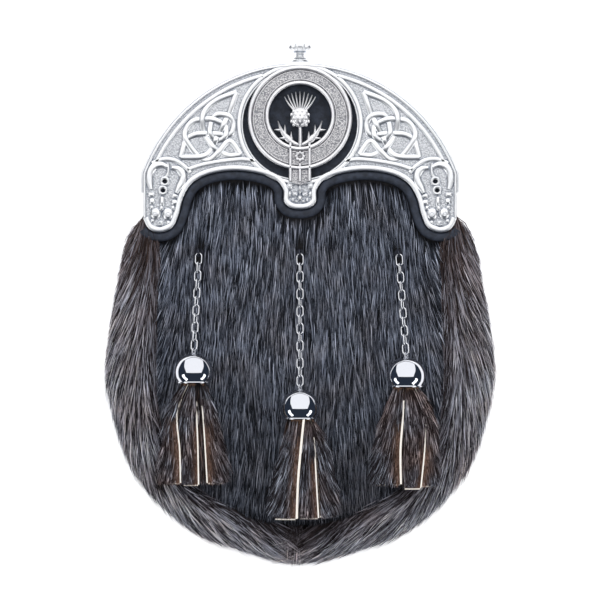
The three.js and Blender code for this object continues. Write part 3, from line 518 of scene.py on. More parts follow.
casting = {"rim": 1.25, "lowerRim": 2.8, "rimHeight": 1.0, "frame": 2.2, "frameHeight": 0.9, "strand": 2.7,
           "strandHeight": 0.85, "weave": 0.32, "frameRadius": 76.4, "wall": 1.6, "windowFrame": 1.9,
           "windowEdge": 0.45}
frameSection = bead(casting["frame"], casting["frameHeight"])
knotGrid = {"left": -60.2, "top": 103.9, "step": 0.243}  # the knot's chart starts at the panel's top left
knotPlaces = {
    "top": (123, 11), "right": (130, 134), "left": (12, 139.5),
    "a": (54.5, 65), "b": (59, 93), "c": (75, 118.5), "d": (88.5, 128), "e": (48, 139), "f": (22.5, 105),
    "g": (74.5, 64.5), "h": (97, 75), "i": (100.5, 97), "j": (81.5, 105), "k": (70, 92.7), "l": (106, 57.7),
    "m": (87.5, 94.3),
    "n1": (84, 26), "n2": (62, 45), "n3": (108, 136.5), "n4": (109, 108), "n5": (69, 144.5), "n6": (22, 86),
    "n7": (36, 68.5), "n8": (102, 86), "n9": (92, 104.5), "n10": (71, 78), "n11": (86, 55), "n12": (116, 72),
    "n13": (113, 91), "n14": (40, 95), "n15": (17, 121), "n16": (66, 132.5), "n17": (114, 35),
}
knotRuns = ["top n1 n2 a b c d n3 right",
            "right n4 d n5 e f n6 n7 a g h n8 i n9 j k n10 g n11 l n12 n13 i m k b n14 f n15 left",
            "left e n16 c j m h l n17 top"]


def knotStrands():
    parts, over = [], False
    for run in knotRuns:
        rows = []
        for name in run.split():
            across, down = knotPlaces[name]
            lift = 0.0
            if len(name) == 1:  # a crossing, over and under by turns
                over = not over
                lift = casting["weave"] if over else -casting["weave"]
            x = knotGrid["left"] + across * knotGrid["step"]
            y = knotGrid["top"] - down * knotGrid["step"]
            rows.append((x, y, level["ground"] + lift))
        line = smoothLine(rows, len(rows) * 9)
        parts.append(sweep(line, strandSection(casting["strand"], casting["strandHeight"], 0.8)))
    return parts


def panelFrame():
    turn = np.radians(np.linspace(103.5, 154.5, 60))
    over = np.column_stack([casting["frameRadius"] * np.cos(turn),
                            arch["centreY"] + casting["frameRadius"] * np.sin(turn)])
    lines = [over, smoothLine([(-71, 67), (-66, 69), (-60.4, 68.6), (-56, 66), (-52.6, 62.6)], 40),
             smoothLine([(-54, 64), (-47.4, 66.2), (-38, 68), (-28, 69), (-21.6, 68.2)], 50)]
    return [sweep(raised(line, level["ground"]), frameSection) for line in lines]


def ringBead(x, y, radius, height, width, rise, count=16):
    return sweep(raised(circle(x, y, radius, count), height), strandSection(width, rise), closed=True)


maskHoles = [(-64.9, 58.4), (-65.8, 54.1)]
maskPupils = [(-69.6, 42.8, 1.0), (-63.3, 42.6, 1.1), (-67.4, 38.2, 0.7)]  # x, y and radius
maskLumps = [  # x, y, then half the size across, along and up
    (-71.4, 52.0, 2.0, 1.5, 1.0), (-71.0, 48.7, 1.8, 1.9, 1.2), (-60.0, 51.3, 1.9, 1.4, 1.0),
    (-60.2, 48.2, 2.0, 1.7, 1.2), (-66.2, 48.6, 1.5, 3.0, 1.3), (-69.3, 42.8, 2.9, 3.0, 1.4),
    (-63.4, 42.6, 3.0, 3.2, 1.5), (-66.5, 45.4, 1.4, 1.4, 1.6), (-71.2, 45.8, 1.3, 1.3, 1.2),
    (-61.0, 45.6, 1.3, 1.4, 1.2), (-67.0, 38.3, 1.8, 1.5, 1.3), (-70.8, 39.4, 1.2, 1.1, 0.9),
    (-63.2, 38.6, 1.3, 1.2, 0.9)]
tongueLumps = [(5.0, 56.2, 1.9, 2.1, 1.2), (2.5, 52.4, 1.8, 1.5, 1.3), (1.6, 48.9, 1.3, 0.8, 1.5),
               (4.9, 52.2, 0.9, 1.7, 1.0), (3.4, 49.6, 0.8, 1.2, 1.0)]


def lobeMask():  # a horned beast's head on the end lobe
    low = level["ground"]
    horns = [[(-63.6, 65.2), (-66.5, 66.4), (-69.8, 65.6), (-72, 62.6), (-72.3, 58.8), (-71.4, 54.6)],
             [(-61.6, 64.9), (-58.4, 64.2), (-56.2, 61.2), (-56.8, 57.8), (-58.4, 55), (-59.4, 52.9)]]
    parts = []
    for horn in horns:
        line = smoothLine(horn, 26)
        widths = np.interp(np.linspace(0, 1, 26), [0, 0.3, 0.75, 1], [0.55, 1, 1, 0.6])
        parts.append(sweep(raised(line, low), strandSection(3.9, 1.5), widths=widths))
    brow = smoothLine([(-63.4, 67), (-63.2, 63), (-64.6, 60)], 12)
    parts.append(sweep(raised(brow, low), strandSection(1.7, 1.2)))
    parts += [blob(x, y, low, across, along, up) for x, y, across, along, up in maskLumps]
    parts += [ringBead(x, y, 1.75, low, 1.5, 1.3, 24) for x, y in maskHoles]
    parts += [ringBead(x, y, radius, low + 1.25, 0.5, 0.35) for x, y, radius in maskPupils]
    return parts


def tongueMask():  # a small animal's head on the tongue
    low = level["ground"]
    parts = []
    for side in (-1, 1):
        parts += [blob(side * x, y, low, across, along, up) for x, y, across, along, up in tongueLumps]
    parts.append(blob(0, 50.2, low, 1.5, 1.8, 1.9))
    parts.append(blob(0, 54.8, low, 0.8, 3.4, 1.7))
    for side in (-1, 1):
        parts.append(ringBead(side * 2.5, 52.5, 0.8, low + 1.1, 0.4, 0.35))
        parts.append(ringBead(side * 5.0, 56.2, 1.1, low + 0.9, 0.5, 0.4))
    return parts


def mirrored(parts):
    return [(part[0] * (-1, 1, 1), [tuple(face)[::-1] for face in part[1]], *part[2:]) for part in parts]


openings = [oval(0, 120)] + [circle(side * x, y, 1.05, 18) for side in (1, -1) for x, y in maskHoles]
plate = slabBody(cantleEdge, level["plateBack"], level["ground"], openings)
upperRim = archLine(-casting["rim"] / 2, 240)
lowerRim = offsetLine(scallop, -casting["lowerRim"] / 2)
wallLine = archLine(-casting["wall"] / 2, 200)
wallDepth = level["plateBack"] + 0.4 - level["wallBack"]
leftRelief = panelFrame() + knotStrands() + lobeMask()
relief = leftRelief + mirrored(leftRelief) + tongueMask() + [
    sweep(raised(upperRim, level["ground"]), bead(casting["rim"], casting["rimHeight"], 0.75)),
    sweep(raised(lowerRim, level["ground"]), bead(casting["lowerRim"], casting["rimHeight"], 0.75)),
    sweep(raised(oval(casting["windowFrame"], 140), level["ground"]), frameSection, closed=True),
    sweep(raised(oval(casting["windowEdge"], 140), level["ground"]), bead(0.7, 0.8), closed=True),
    sweep(raised(wallLine, level["wallBack"] + 0.3), bead(casting["wall"], wallDepth, 0.2)),
]
addPiece("cantleCasting", [(*plate, 0)] + [(*part, 1) for part in relief], [silverGround, silver],
         ["cantle_front"])
print("cantle made")


# Back half of the frame, and the knob

backHalf = {"inner": 0.3, "wall": 1.2, "endY": 53.3, "flange": 4.6, "flangeHeight": 1.2}
backDepth = level["frameFront"] - level["gussetBack"]
backLine = archLine(backHalf["inner"] + backHalf["wall"] / 2, 200, backHalf["endY"])
frameTop = arch["centreY"] + arch["radius"] + backHalf["inner"] + backHalf["wall"]
knobAxis = 21.0


def turned(rows, sides, place=(0, 0, 0), flutes=0, depth=0.0, fluted=()):  # a body of revolution about Y
    around = np.linspace(0, 2 * np.pi, sides, endpoint=False)
    points = []
    for number, (radius, along) in enumerate(rows):
        reach = radius * np.ones(sides)
        if number in fluted:
            reach = radius * (1 - depth * (0.5 + 0.5 * np.cos(flutes * around)))
        x, z = reach * np.sin(around), reach * np.cos(around)
        points.append(np.column_stack([x, np.full(sides, along), z]))
    return np.vstack(points) + place, gridFaces(len(rows), sides)


flangeEdge = backHalf["flange"]
flangeRows = [(flangeEdge - 0.3, frameTop - 0.6), (flangeEdge, frameTop - 0.2), (flangeEdge, frameTop + 0.8),
              (flangeEdge - 0.4, frameTop + backHalf["flangeHeight"])]
flange = turned(flangeRows, 48, (0, 0, knobAxis))
backWall = sweep(raised(backLine, level["gussetBack"] + 0.3), bead(backHalf["wall"], backDepth - 0.3, 0.6))
addPiece("backFrame", [backWall, flange], [silver], ["back_frame"])

knob = {"foot": frameTop + 1.5, "top": 126.0, "stem": 1.5, "inside": frameTop - 9, "latch": (2, 1.6, 7),
        "flutes": 12, "fluteDepth": 0.16, "fluted": (8, 9, 10)}
knobFoot = [(3.3, 0), (3.4, 0.5), (2.6, 1.3), (2.3, 1.9), (3.0, 2.5), (3.5, 2.9), (3.1, 3.3), (4.2, 3.9),
            (5.3, 4.5), (5.6, 5.3), (5.5, 6.1)]  # radius and distance from the foot
knobEnd = [(4.7, 1.3), (4.3, 0.7), (3.3, 0.25), (1.6, 0.05)]  # radius and distance from the top
cupRows = [(radius, knob["foot"] + rise) for radius, rise in knobFoot]
cupRows += [(radius, knob["top"] - drop) for radius, drop in knobEnd]
cup = turned(cupRows, 96, (0, 0, knobAxis), knob["flutes"], knob["fluteDepth"], knob["fluted"])
stem = turned([(knob["stem"], knob["inside"]), (knob["stem"], knob["foot"] + 0.3)], 24, (0, 0, knobAxis))
latchWide, latchThick, latchLong = knob["latch"]
latchHalf, latchLow = latchWide / 2, knob["inside"] - 0.3
latchHigh = latchLow + latchThick
latchEdge = [(-latchHalf, latchLow), (latchHalf, latchLow), (latchHalf, latchHigh), (-latchHalf, latchHigh)]
latch = slabBody(np.array(latchEdge), knobAxis - latchLong / 2, knobAxis + latchLong / 2)
addPiece("knobCup", [cup, stem, latch], [silver], ["clasp_knob"], body="knob")
print("back frame and knob made")


# Badge

badge = {"y": 88.8, "radius": 25.0, "openingY": 89.8, "opening": 14.9, "rim": 1.9, "face": 34.1, "high": 0.9}


leafLine = [(0, 1.2), (4.4, 3.2), (8.6, 8), (10.6, 13)]  # x, and height over the stalk's foot
leafSpikes = [((4.2, 3.2), (4.2, 8.0)), ((7.2, 6.0), (7.2, 11.2)), ((6.2, 4.8), (10.8, 4.6)),
              ((8.8, 8.6), (12.4, 8.8))]


def thistle():
    low, middle = level["badge"], badge["openingY"]
    bottom = middle - badge["opening"] - 0.6
    parts = [blob(0, middle - 0.8, low + 1.2, 4.7, 4.9, 2.2, rings=14, sides=32)]
    for row in range(5):  # scales on the bulb
        count = 4 + (row % 2)
        for step in range(count):
            x = (step - (count - 1) / 2) * 2.0
            y = middle - 4.4 + row * 1.6
            swell = max(0.0, 1 - (x / 4.9) ** 2 - ((y - middle + 0.8) / 5.1) ** 2)
            parts.append(blob(x, y, low + 1.1 + 2.1 * math.sqrt(swell), 0.75, 0.95, 0.35, rings=4, sides=8))
    for tuft in range(-4, 5):
        lean = tuft * 0.155
        reach = 9.0 - abs(tuft) * 0.32
        start = np.array([tuft * 0.75, middle + 2.8])
        end = start + reach * np.array([math.sin(lean), math.cos(lean)])
        line = smoothLine([start, (start + end) / 2 + (tuft * 0.1, 0), end], 10)
        widths = np.linspace(1.1, 0.45, 10)
        parts.append(sweep(raised(line, low + 0.3), strandSection(1.2, 1.5), widths=widths))
    stalk = smoothLine([(0, bottom), (0.15, bottom + 4), (0, middle - 4.6)], 14)
    parts.append(sweep(raised(stalk, low), strandSection(1.9, 1.6)))
    for side in (-1, 1):
        leaf = [(side * x, bottom + rise) for x, rise in leafLine]
        line = smoothLine(leaf, 22)
        widths = np.interp(np.linspace(0, 1, 22), [0, 0.4, 1], [0.5, 1.0, 0.15])
        parts.append(sweep(raised(line, low), strandSection(3.2, 1.2), widths=widths))
        parts.append(sweep(raised(line, low + 0.9), strandSection(0.6, 0.5), widths=widths))
        for root, tip in leafSpikes:
            spike = smoothLine([(side * root[0], bottom + root[1]), (side * tip[0], bottom + tip[1])], 8)
            parts.append(sweep(raised(spike, low), strandSection(2.2, 1.1), widths=np.linspace(1, 0.12, 8)))
    return parts


ringPlate = slabBody(circle(0, badge["y"], badge["radius"], 160), level["badge"], badge["face"],
                     [circle(0, badge["openingY"], badge["opening"], 120)])
badgeRelief = []
for inward, section in ((badge["rim"] / 2, bead(badge["rim"], badge["high"], 0.7)), (2.6, bead(0.4, 0.35))):
    outer = circle(0, badge["y"], badge["radius"] - inward, 160)
    inner = circle(0, badge["openingY"], badge["opening"] + inward, 120)
    badgeRelief += [sweep(raised(line, badge["face"]), section, closed=True) for line in (outer, inner)]
tailOutline = np.array([(-5.4, 58.5), (0, 56.5), (5.4, 58.5), (5.4, 66), (-5.4, 66)], float)
tailBody = slabBody(tailOutline, level["badge"], badge["face"])
rosette = {"y": 70.3, "ring": 1.6, "petals": 8, "reach": 1.9, "petal": 0.8}
tailRelief = []
for x in (-4.6, 4.6):
    rail = smoothLine([(x, 77), (x, 70), (x, 58.6)], 12)
    tailRelief.append(sweep(raised(rail, badge["face"]), bead(1.4, 0.9)))
tailRelief.append(ringBead(0, rosette["y"], rosette["ring"], badge["face"], 1.3, 1.0, 24))
for x, y in circle(0, rosette["y"], rosette["reach"], rosette["petals"]):
    tailRelief.append(blob(x, y, badge["face"] + 0.3, *[rosette["petal"]] * 3))
rib = smoothLine([(0, 66.9), (0, 63), (0, 58.4)], 8)
tailRelief.append(sweep(raised(rib, badge["face"]), strandSection(1.6, 0.9)))
badgeParts = [(*ringPlate, 0), (*tailBody, 0)]
badgeParts += [(*part, 1) for part in badgeRelief + tailRelief + thistle()]
addPiece("thistleBadge", badgeParts, [pewterGround, pewter], ["badge"])
print("badge made")


# Leather

piping = {"reach": 4.3, "gap": 0.3, "height": 1.9, "halfWidth": 75.6}
middleLine = offsetLine(scallop, (piping["reach"] + piping["gap"]) / 2)
middleLine = middleLine[np.abs(middleLine[:, 0]) < piping["halfWidth"]]
pipingSection = bead(piping["reach"] - piping["gap"], piping["height"], 0.75, 0.05)
addPiece("edgePiping", [sweep(raised(middleLine, level["plateBack"]), pipingSection)], [blackLeather],
         ["scallop_piping"])

backing = {"thick": 1.9, "gap": 0.3, "inset": 1.9, "reach": 4.1, "halfWidth": 75}
backingTop = level["plateBack"] - backing["gap"]
lowerEdge = offsetLine(scallop, backing["reach"])
backingEdge = np.vstack([archLine(-backing["inset"], 160),
                         lowerEdge[np.abs(lowerEdge[:, 0]) < backing["halfWidth"]]])
backingSheet = slabBody(backingEdge, backingTop - backing["thick"], backingTop, spacing=6)
addPiece("leatherBacking", [backingSheet], [blackLeather], ["leather_backing"])

gusset = {"wall": 1.8, "gap": 0.15, "foot": 0.3}
gussetLine = offsetLine(seamLine, -gusset["gap"] - gusset["wall"] / 2)
gussetHeight = level["gussetFront"] - level["gussetBack"] - gusset["foot"]
gussetFoot = raised(gussetLine, level["gussetBack"] + gusset["foot"])
gussetWall = sweep(gussetFoot, bead(gusset["wall"], gussetHeight, 0.5))
addPiece("gussetWall", [gussetWall], [rearLeather], ["gusset"])

backPanel = {"thick": 2, "edge": 0.6, "inset": 1, "top": 48}
upperBack = archLine(-backPanel["inset"], 120, backPanel["top"])
pouchEdge = offsetLine(seamLine, -gusset["gap"])
backEdge = np.vstack([upperBack, pouchEdge[pouchEdge[:, 1] < backPanel["top"] - 0.5]])
backEdge = closedEvenly(backEdge, 499)
stitch = {"inset": 3.2, "pitch": 3.4, "length": 2.3, "width": 0.8, "rise": 0.3}


def stitchesAlong(line, height):
    run = np.linalg.norm(np.diff(line, axis=0), axis=1).sum()
    places = evenly(line, int(run / stitch["pitch"]))
    side = sideOf(places)
    parts = []
    size = (stitch["width"] / 2, stitch["length"] / 2, stitch["rise"])
    for (x, y), (across, along) in zip(places[1:-1], side[1:-1]):
        parts.append(blob(x, y, height, *size, turn=math.atan2(along, across), rings=4, sides=8))
    return parts


stitchLine = offsetLine(backEdge, -stitch["inset"], True)
backSheet = slabBody(backEdge, level["back"], level["back"] + backPanel["thick"], spacing=8,
                     edge=backPanel["edge"])
backParts = [(*backSheet, 0)] + [(*part, 1) for part in stitchesAlong(stitchLine, level["back"])]
addPiece("backLeather", backParts, [rearLeather, thread], ["back_panel"])

keeper = {"x": 38, "width": 12.0, "bottom": 44.0, "thick": 1.8, "stitchRow": 11, "stitchHeight": 2.35,
          "stitches": (46.0, 49.2, 64.8, 68.0)}
keeperHalf = [(0, 3.3), (3, 3.3), (6, 2.9), (8.6, 1.25), (11, 1.0)]  # along the strap, and height
keeperLength = 26


def keeperStrap(x):
    path = smoothLine(keeperHalf + [(keeperLength - along, height) for along, height in keeperHalf[::-1]], 60)
    side = sideOf(path)
    half, thick = keeper["width"] / 2, keeper["thick"] / 2
    section = [(half - 0.4, -thick), (half, -thick + 0.4), (half, thick - 0.4), (half - 0.4, thick),
               (-half + 0.4, thick), (-half, thick - 0.4), (-half, -thick + 0.4), (-half + 0.4, -thick)]
    rows = [[(x + across, keeper["bottom"] + along + normal * tilt[0], height + normal * tilt[1])
             for across, normal in section] for (along, height), tilt in zip(path, side)]
    return np.array(rows).reshape(-1, 3), gridFaces(len(path), len(section))


for sideName, x in (("left", -keeper["x"]), ("right", keeper["x"])):
    parts = [(*keeperStrap(x), 0)]
    for y in keeper["stitches"]:
        row = np.array([(x - keeper["stitchRow"] / 2, y), (x + keeper["stitchRow"] / 2, y)])
        parts += [(*part, 1) for part in stitchesAlong(row, keeper["stitchHeight"])]
    addPiece("keeper_" + sideName, parts, [rearLeather, thread], ["belt_loop_" + sideName])
print("leather made")


# Chains, anchors and caps

crown = {"rise": 4.4, "middleY": -20.0, "reachX": 74.0, "reachY": 92.0}
link = {"wire": 0.75, "width": 3.9, "length": 6.1, "tilt": 12.0, "turned": 88.0}
eye = {"radius": 1.5, "wire": 0.9, "overPanel": 2.4, "overCap": 1.0}
cap = {"radius": 9.3, "height": 14.2, "flat": 0.78, "overPanel": 0.9}
capOuter = [(0.4, 0), (3.9, -0.6), (7.0, -2.9), (8.8, -6.0), (9.3, -8.6), (9.0, -11.4), (8.1, -13.3)]
capLip = [(8.3, -13.55), (8.38, -13.75), (8.2, -14.05), (7.6, -14.1), (7.1, -13.6)]
capInner = [(7.9, -10.8), (8.2, -8.4), (5.6, -3.6), (0.4, -2.4)]
capCollar = [(1.5, -0.2), (1.7, 0.1), (1.3, 0.4), (0.7, 0.6)]
chains = [
    {"name": "left", "links": 11, "anchor": (-48.5, 24.3), "capX": -50.7, "capTop": -24.1},
    {"name": "centre", "links": 15, "anchor": (0, 24), "capX": 0, "capTop": -41.3},
    {"name": "right", "links": 11, "anchor": (47.4, 23.8), "capX": 50.6, "capTop": -26},
]


def panelTop(x, y):
    across = np.maximum(1 - np.abs(x / crown["reachX"]) ** 2.4, 0)
    along = np.maximum(1 - np.abs((y - crown["middleY"]) / crown["reachY"]) ** 2.2, 0)
    return level["panelEdge"] + crown["rise"] * across * along


def hangHeight(chain):
    below = float(panelTop(chain["capX"], chain["capTop"] - cap["height"] / 2))
    return below + cap["overPanel"] + cap["radius"]


def anchorEye(chain):
    x, y = chain["anchor"]
    return np.array([x, y, float(panelTop(x, y)) + eye["overPanel"]])


def capEye(chain):
    return np.array([chain["capX"], chain["capTop"] + eye["overCap"], hangHeight(chain)])


def chainPlace(chain, share):  # low along the fur, then up to the cap's eye
    start, end = anchorEye(chain), capEye(chain)
    place = start + (end - start) * share
    place[2] -= (end[2] - start[2]) * (share - share ** 1.5)
    return place


def chainDirection(chain, share):
    start = min(max(share - 0.01, 0), 0.98)
    step = chainPlace(chain, start + 0.02) - chainPlace(chain, start)
    return step / np.linalg.norm(step)


def wireLoop(radius, wire, stretch, direction, roll, place, segments=28, sides=9):
    around = np.linspace(0, 2 * np.pi, segments, endpoint=False)
    tube = np.linspace(0, 2 * np.pi, sides, endpoint=False)
    reach = radius + wire / 2 * np.cos(tube)[None, :]
    x = reach * np.cos(around)[:, None] + stretch * np.sign(np.cos(around))[:, None]
    y = reach * np.sin(around)[:, None]
    z = np.broadcast_to(wire / 2 * np.sin(tube)[None, :], x.shape)
    cos, sin = math.cos(roll), math.sin(roll)
    rollTurn = np.array([[1, 0, 0], [0, cos, -sin], [0, sin, cos]])
    aim = np.array(Vector((1, 0, 0)).rotation_difference(Vector(direction)).to_matrix())
    points = np.stack([x, y, z], axis=-1).reshape(-1, 3) @ rollTurn.T @ aim.T + place
    return points, [face[::-1] for face in gridFaces(segments, sides, True)]


linkHold = eye["radius"] - eye["wire"] / 2 - 0.15 + link["length"] / 2 - link["wire"]


def linkRoll(number):  # every other link lies flat
    return math.radians(link["tilt"] + number % 2 * link["turned"])


def chainLinks(chain):
    shares = np.linspace(0, 1, 41)
    places = np.array([chainPlace(chain, share) for share in shares])
    length = np.linalg.norm(np.diff(places, axis=0), axis=1).sum()
    pitch = (length - 2 * linkHold) / (chain["links"] - 1)
    radius = (link["width"] - link["wire"]) / 2
    stretch = (link["length"] - link["width"]) / 2
    parts = []
    for number in range(chain["links"]):
        share = (linkHold + pitch * number) / length
        parts.append(wireLoop(radius, link["wire"], stretch, chainDirection(chain, share), linkRoll(number),
                              chainPlace(chain, share)))
    return parts


anchor = {"post": 0.8, "washer": 4, "washerThick": 1.0, "depth": 5.5}


def anchorBody(chain):
    place = anchorEye(chain)
    low = float(panelTop(place[0], place[1])) - anchor["depth"]
    washerLow = low - 0.2
    post = slabBody(circle(place[0], place[1], anchor["post"], 16), low, place[2] - eye["radius"])
    washer = slabBody(circle(place[0], place[1], anchor["washer"], 32), washerLow,
                      washerLow + anchor["washerThick"])
    loop = wireLoop(eye["radius"], eye["wire"], 0, chainDirection(chain, 0), linkRoll(1), place, 24)
    return [loop, post, washer]


def capBody(chain):
    rows = [tuple(row) for row in smoothLine(capOuter, 30)] + capLip + capInner
    place = (chain["capX"], chain["capTop"], hangHeight(chain))
    bell = turned(rows, 72, place)
    bell[0][:, 2] = place[2] + (bell[0][:, 2] - place[2]) * cap["flat"]
    loop = wireLoop(eye["radius"], eye["wire"], 0, chainDirection(chain, 1), linkRoll(chain["links"]),
                    capEye(chain), 24)
    return [bell, loop, turned(capCollar, 24, place)]


for chain in chains:
    name = chain["name"]
    linkNodes = [f"{name}_link_{number + 1:02d}" for number in range(chain["links"])]
    addPiece("chain_" + name, chainLinks(chain), [chrome], linkNodes, sharp=60)
    addPiece("anchor_" + name, anchorBody(chain), [paintedHoleShade], ["chain_anchor_" + name])
    addPiece("bell_" + name, capBody(chain), [capChrome], ["cap_" + name], sharp=50)
print("chains and caps made")


# Fur on the front panel

frontFur = {"spacing": 1.32, "hairs": 5, "length": 15.5, "width": 0.46, "spread": 0.58, "gather": 0.66,
            "depth": 2.6, "guards": 0.08, "parting": 14.0, "hole": 2.5, "holeReach": 15, "seed": 11}


def jitteredGrid(low, high, spacing, rng):
    x, y = np.meshgrid(np.arange(low[0], high[0], spacing), np.arange(low[1], high[1], spacing))
    places = np.column_stack([x.ravel(), y.ravel()])
    return places + rng.uniform(-0.5, 0.5, places.shape) * spacing


def wander(x, y, size, phase):  # a slow change of lie over the fur, between -1 and 1
    return (np.sin(x / size + phase) * np.cos(y / (size * 1.6) - phase)
            + 0.5 * np.sin(x / (size * 0.43) - y / (size * 0.9) + 2 * phase)) / 1.5


topLine = offsetLine(scallop, piping["reach"] - 0.8)  # the fur starts under the piping
topLine = topLine[np.abs(topLine[:, 0]) < 71]
lowerSeam = seamLine[seamLine[:, 1] < 40]
frontEdge = np.vstack([topLine[::-1], lowerSeam])
frontEdge = closedEvenly(frontEdge, 419)


def growFront():
    hairs = frontFur["hairs"]
    rng = np.random.default_rng(frontFur["seed"])
    clumps = jitteredGrid((-76, -110), (76, 70), frontFur["spacing"], rng)
    clumps = clumps[isInside(clumps, frontEdge)]
    count = len(clumps) * hairs
    clumpTone = np.repeat(rng.random(len(clumps)), hairs)
    middle = np.repeat(clumps, hairs, axis=0)
    offset = rng.normal(0, frontFur["spread"], (count, 2))
    roots = middle + offset
    seamNear = np.min([np.linalg.norm(middle - place, axis=1) for place in lowerSeam[::6]], axis=0)
    parting = np.clip(1 - seamNear / frontFur["parting"], 0, 1) * np.clip((middle[:, 1] + 96) / 30, 0, 1)
    lean = 0.1 * middle[:, 0] / 70 + 0.1 * wander(middle[:, 0], middle[:, 1], 9, 0.7)
    lean += 0.42 * parting * np.sign(middle[:, 0])
    lean += np.repeat(rng.normal(0, 0.05, len(clumps)), hairs) + rng.normal(0, 0.05, count)
    ahead = np.column_stack([np.sin(lean), -np.cos(lean)])
    clumpLength = frontFur["length"] * np.repeat(rng.uniform(0.75, 1.2, len(clumps)), hairs)
    length = clumpLength * rng.uniform(0.7, 1.15, count)
    for shorten in (0.7, 0.55, 0.5):  # hairs stop at the border's fur
        outside = ~isInside(roots + ahead * (length - 2)[:, None], frontEdge)
        length[outside] *= shorten
    levels = np.array([0, 0.4, 1.0])
    heights = np.array([-frontFur["depth"], -0.7, 0.7])
    paths = np.zeros((count, 3, 3))
    lift = rng.uniform(-0.5, 0.7, count)
    for k, share in enumerate(levels):
        pull = 1 - frontFur["gather"] * share
        flat = middle + offset * pull + ahead * (length * share)[:, None]
        paths[:, k, :2] = flat
        paths[:, k, 2] = panelTop(flat[:, 0], flat[:, 1]) + heights[k] + lift * share
    widths = frontFur["width"] * rng.uniform(0.55, 1.3, count)
    ups = np.tile([0.0, 0, 1], (count, 1))
    tones = np.clip(rng.random(count) * 0.78 + 0.46 * (clumpTone - 0.48), 0, 1)
    guard = rng.random(count) < frontFur["guards"]  # long pale hairs lie on top; their bright tones are partly painted highlight
    tones[guard] = rng.uniform(0.7, 1.0, guard.sum())
    paths[guard, 1:, 2] += 0.8
    reach = [np.linalg.norm(roots + ahead * along - chain["anchor"], axis=1)
             for chain in chains for along in range(0, frontFur["holeReach"], 2)]
    nearHole = np.min(reach, axis=0) < frontFur["hole"]  # no hair lies over an anchor
    keep = isInside(roots, frontEdge) & ~nearHole
    return paths[keep], ups[keep], widths[keep], tones[keep], clumpTone[keep], np.zeros(keep.sum())


def skinFront(x, y):
    return panelTop(x, y) - 2.2


def skinBack(x, y):
    return panelTop(x, y) - 4


skinEdge = offsetLine(closedEvenly(frontEdge, 219), 1.2, True)
holesAt = [circle(*chain["anchor"], 2.2, 20) for chain in chains]
addPiece("frontSkin", [slabBody(skinEdge, skinBack, skinFront, holesAt, 5)], [darkSkin],
         ["fur_front"])
addHair("frontFur", *growFront(), frontHair, "front_fur")
print("front fur grown")


# Fur border

ruff = {"spacing": 1.55, "hairs": 6, "length": 22.0, "width": 0.46, "spread": 0.8, "gather": 0.78,
        "depth": 1.8, "lift": 2.0, "guards": 0.13, "guardLift": 0.7, "lowest": 0.7,
        "follow": 0.62, "edgeFollow": 0.42,
        "meet": 0.486, "crossLeft": 0.018, "crossRight": 0.034, "droop": 0.18, "top": 47.0, "seed": 23,
        "run": 240.0, "overRun": 78.0, "furthest": 0.74}
# Tables for the hair. Along is 0 at a top corner and 1 at the point, over is 0 at the seam and 1 at the back.
ruffAngle = ([0, 0.12, 0.5, 0.85, 1], [0.7, 0.5, 0.42, 0.5, 0.62])  # along: how far hair leans outwards
seamAngle = ([0, 0.07, 0.16], [0.7, 0.45, 0])  # over: less of it at the seam
seamReach = ([0, 0.7, 0.85], [1, 1, 0])  # along: but not at the point
ruffLength = ([0, 0.1, 0.35, 0.55], [0.75, 1, 1, 0.86])  # over
cornerShade = ([0, 0.14, 0.26], [0.82, 0.92, 1.0])  # along
outerShade = ([0.2, 0.42, 0.6], [0.95, 1.04, 1.14])  # over
cornerBrown = ([0, 0.12, 0.3], [0.45, 0.25, 0.02])  # along
seamBrown = ([0.1, 0.3], [0.12, 0])  # over
pointShade = ([0.8, 0.95], [0.25, 0.4])  # along
ruffReach = 19.5
ruffProfile = [(0, 28.4), (0.36, 28.2), (0.68, 24.5), (0.84, 17), (0.84, 8), (0.7, 1.8), (0.46, 0.4),
               (0, 0.8)]
ruffSection = smoothLine([(share * ruffReach, height) for share, height in ruffProfile], 80)
ruffSection[:, 0] /= ruffReach  # a share of the way from the seam to the fur's edge
nearLine = evenly(offsetLine(seamLine[seamLine[:, 1] < ruff["top"]], 0.15), len(furLine))


def rowAt(rows, share):  # a row between the table's rows, at a share of its length
    step = np.clip(share, 0, 1) * (len(rows) - 1)
    return np.column_stack([np.interp(step, np.arange(len(rows)), column) for column in rows.T])


def ruffPlace(share, over):  # share goes along the whole border, from the left corner to the right one
    near, far = rowAt(nearLine, share), rowAt(furLine, share)
    section = rowAt(ruffSection, over)
    return np.column_stack([near + (far - near) * section[:, :1], section[:, 1]])


def ruffAxes(share, over):
    nudge = 0.004
    along = ruffPlace(share + nudge, over) - ruffPlace(share - nudge, over)
    across = ruffPlace(share, over + nudge) - ruffPlace(share, over - nudge)
    alongSize, acrossSize = np.linalg.norm(along, axis=1), np.linalg.norm(across, axis=1)
    along, across = along / alongSize[:, None], across / acrossSize[:, None]
    up = np.cross(across, along)
    up /= np.linalg.norm(up, axis=1)[:, None]
    return along, across, up, alongSize / (2 * nudge), acrossSize / (2 * nudge)


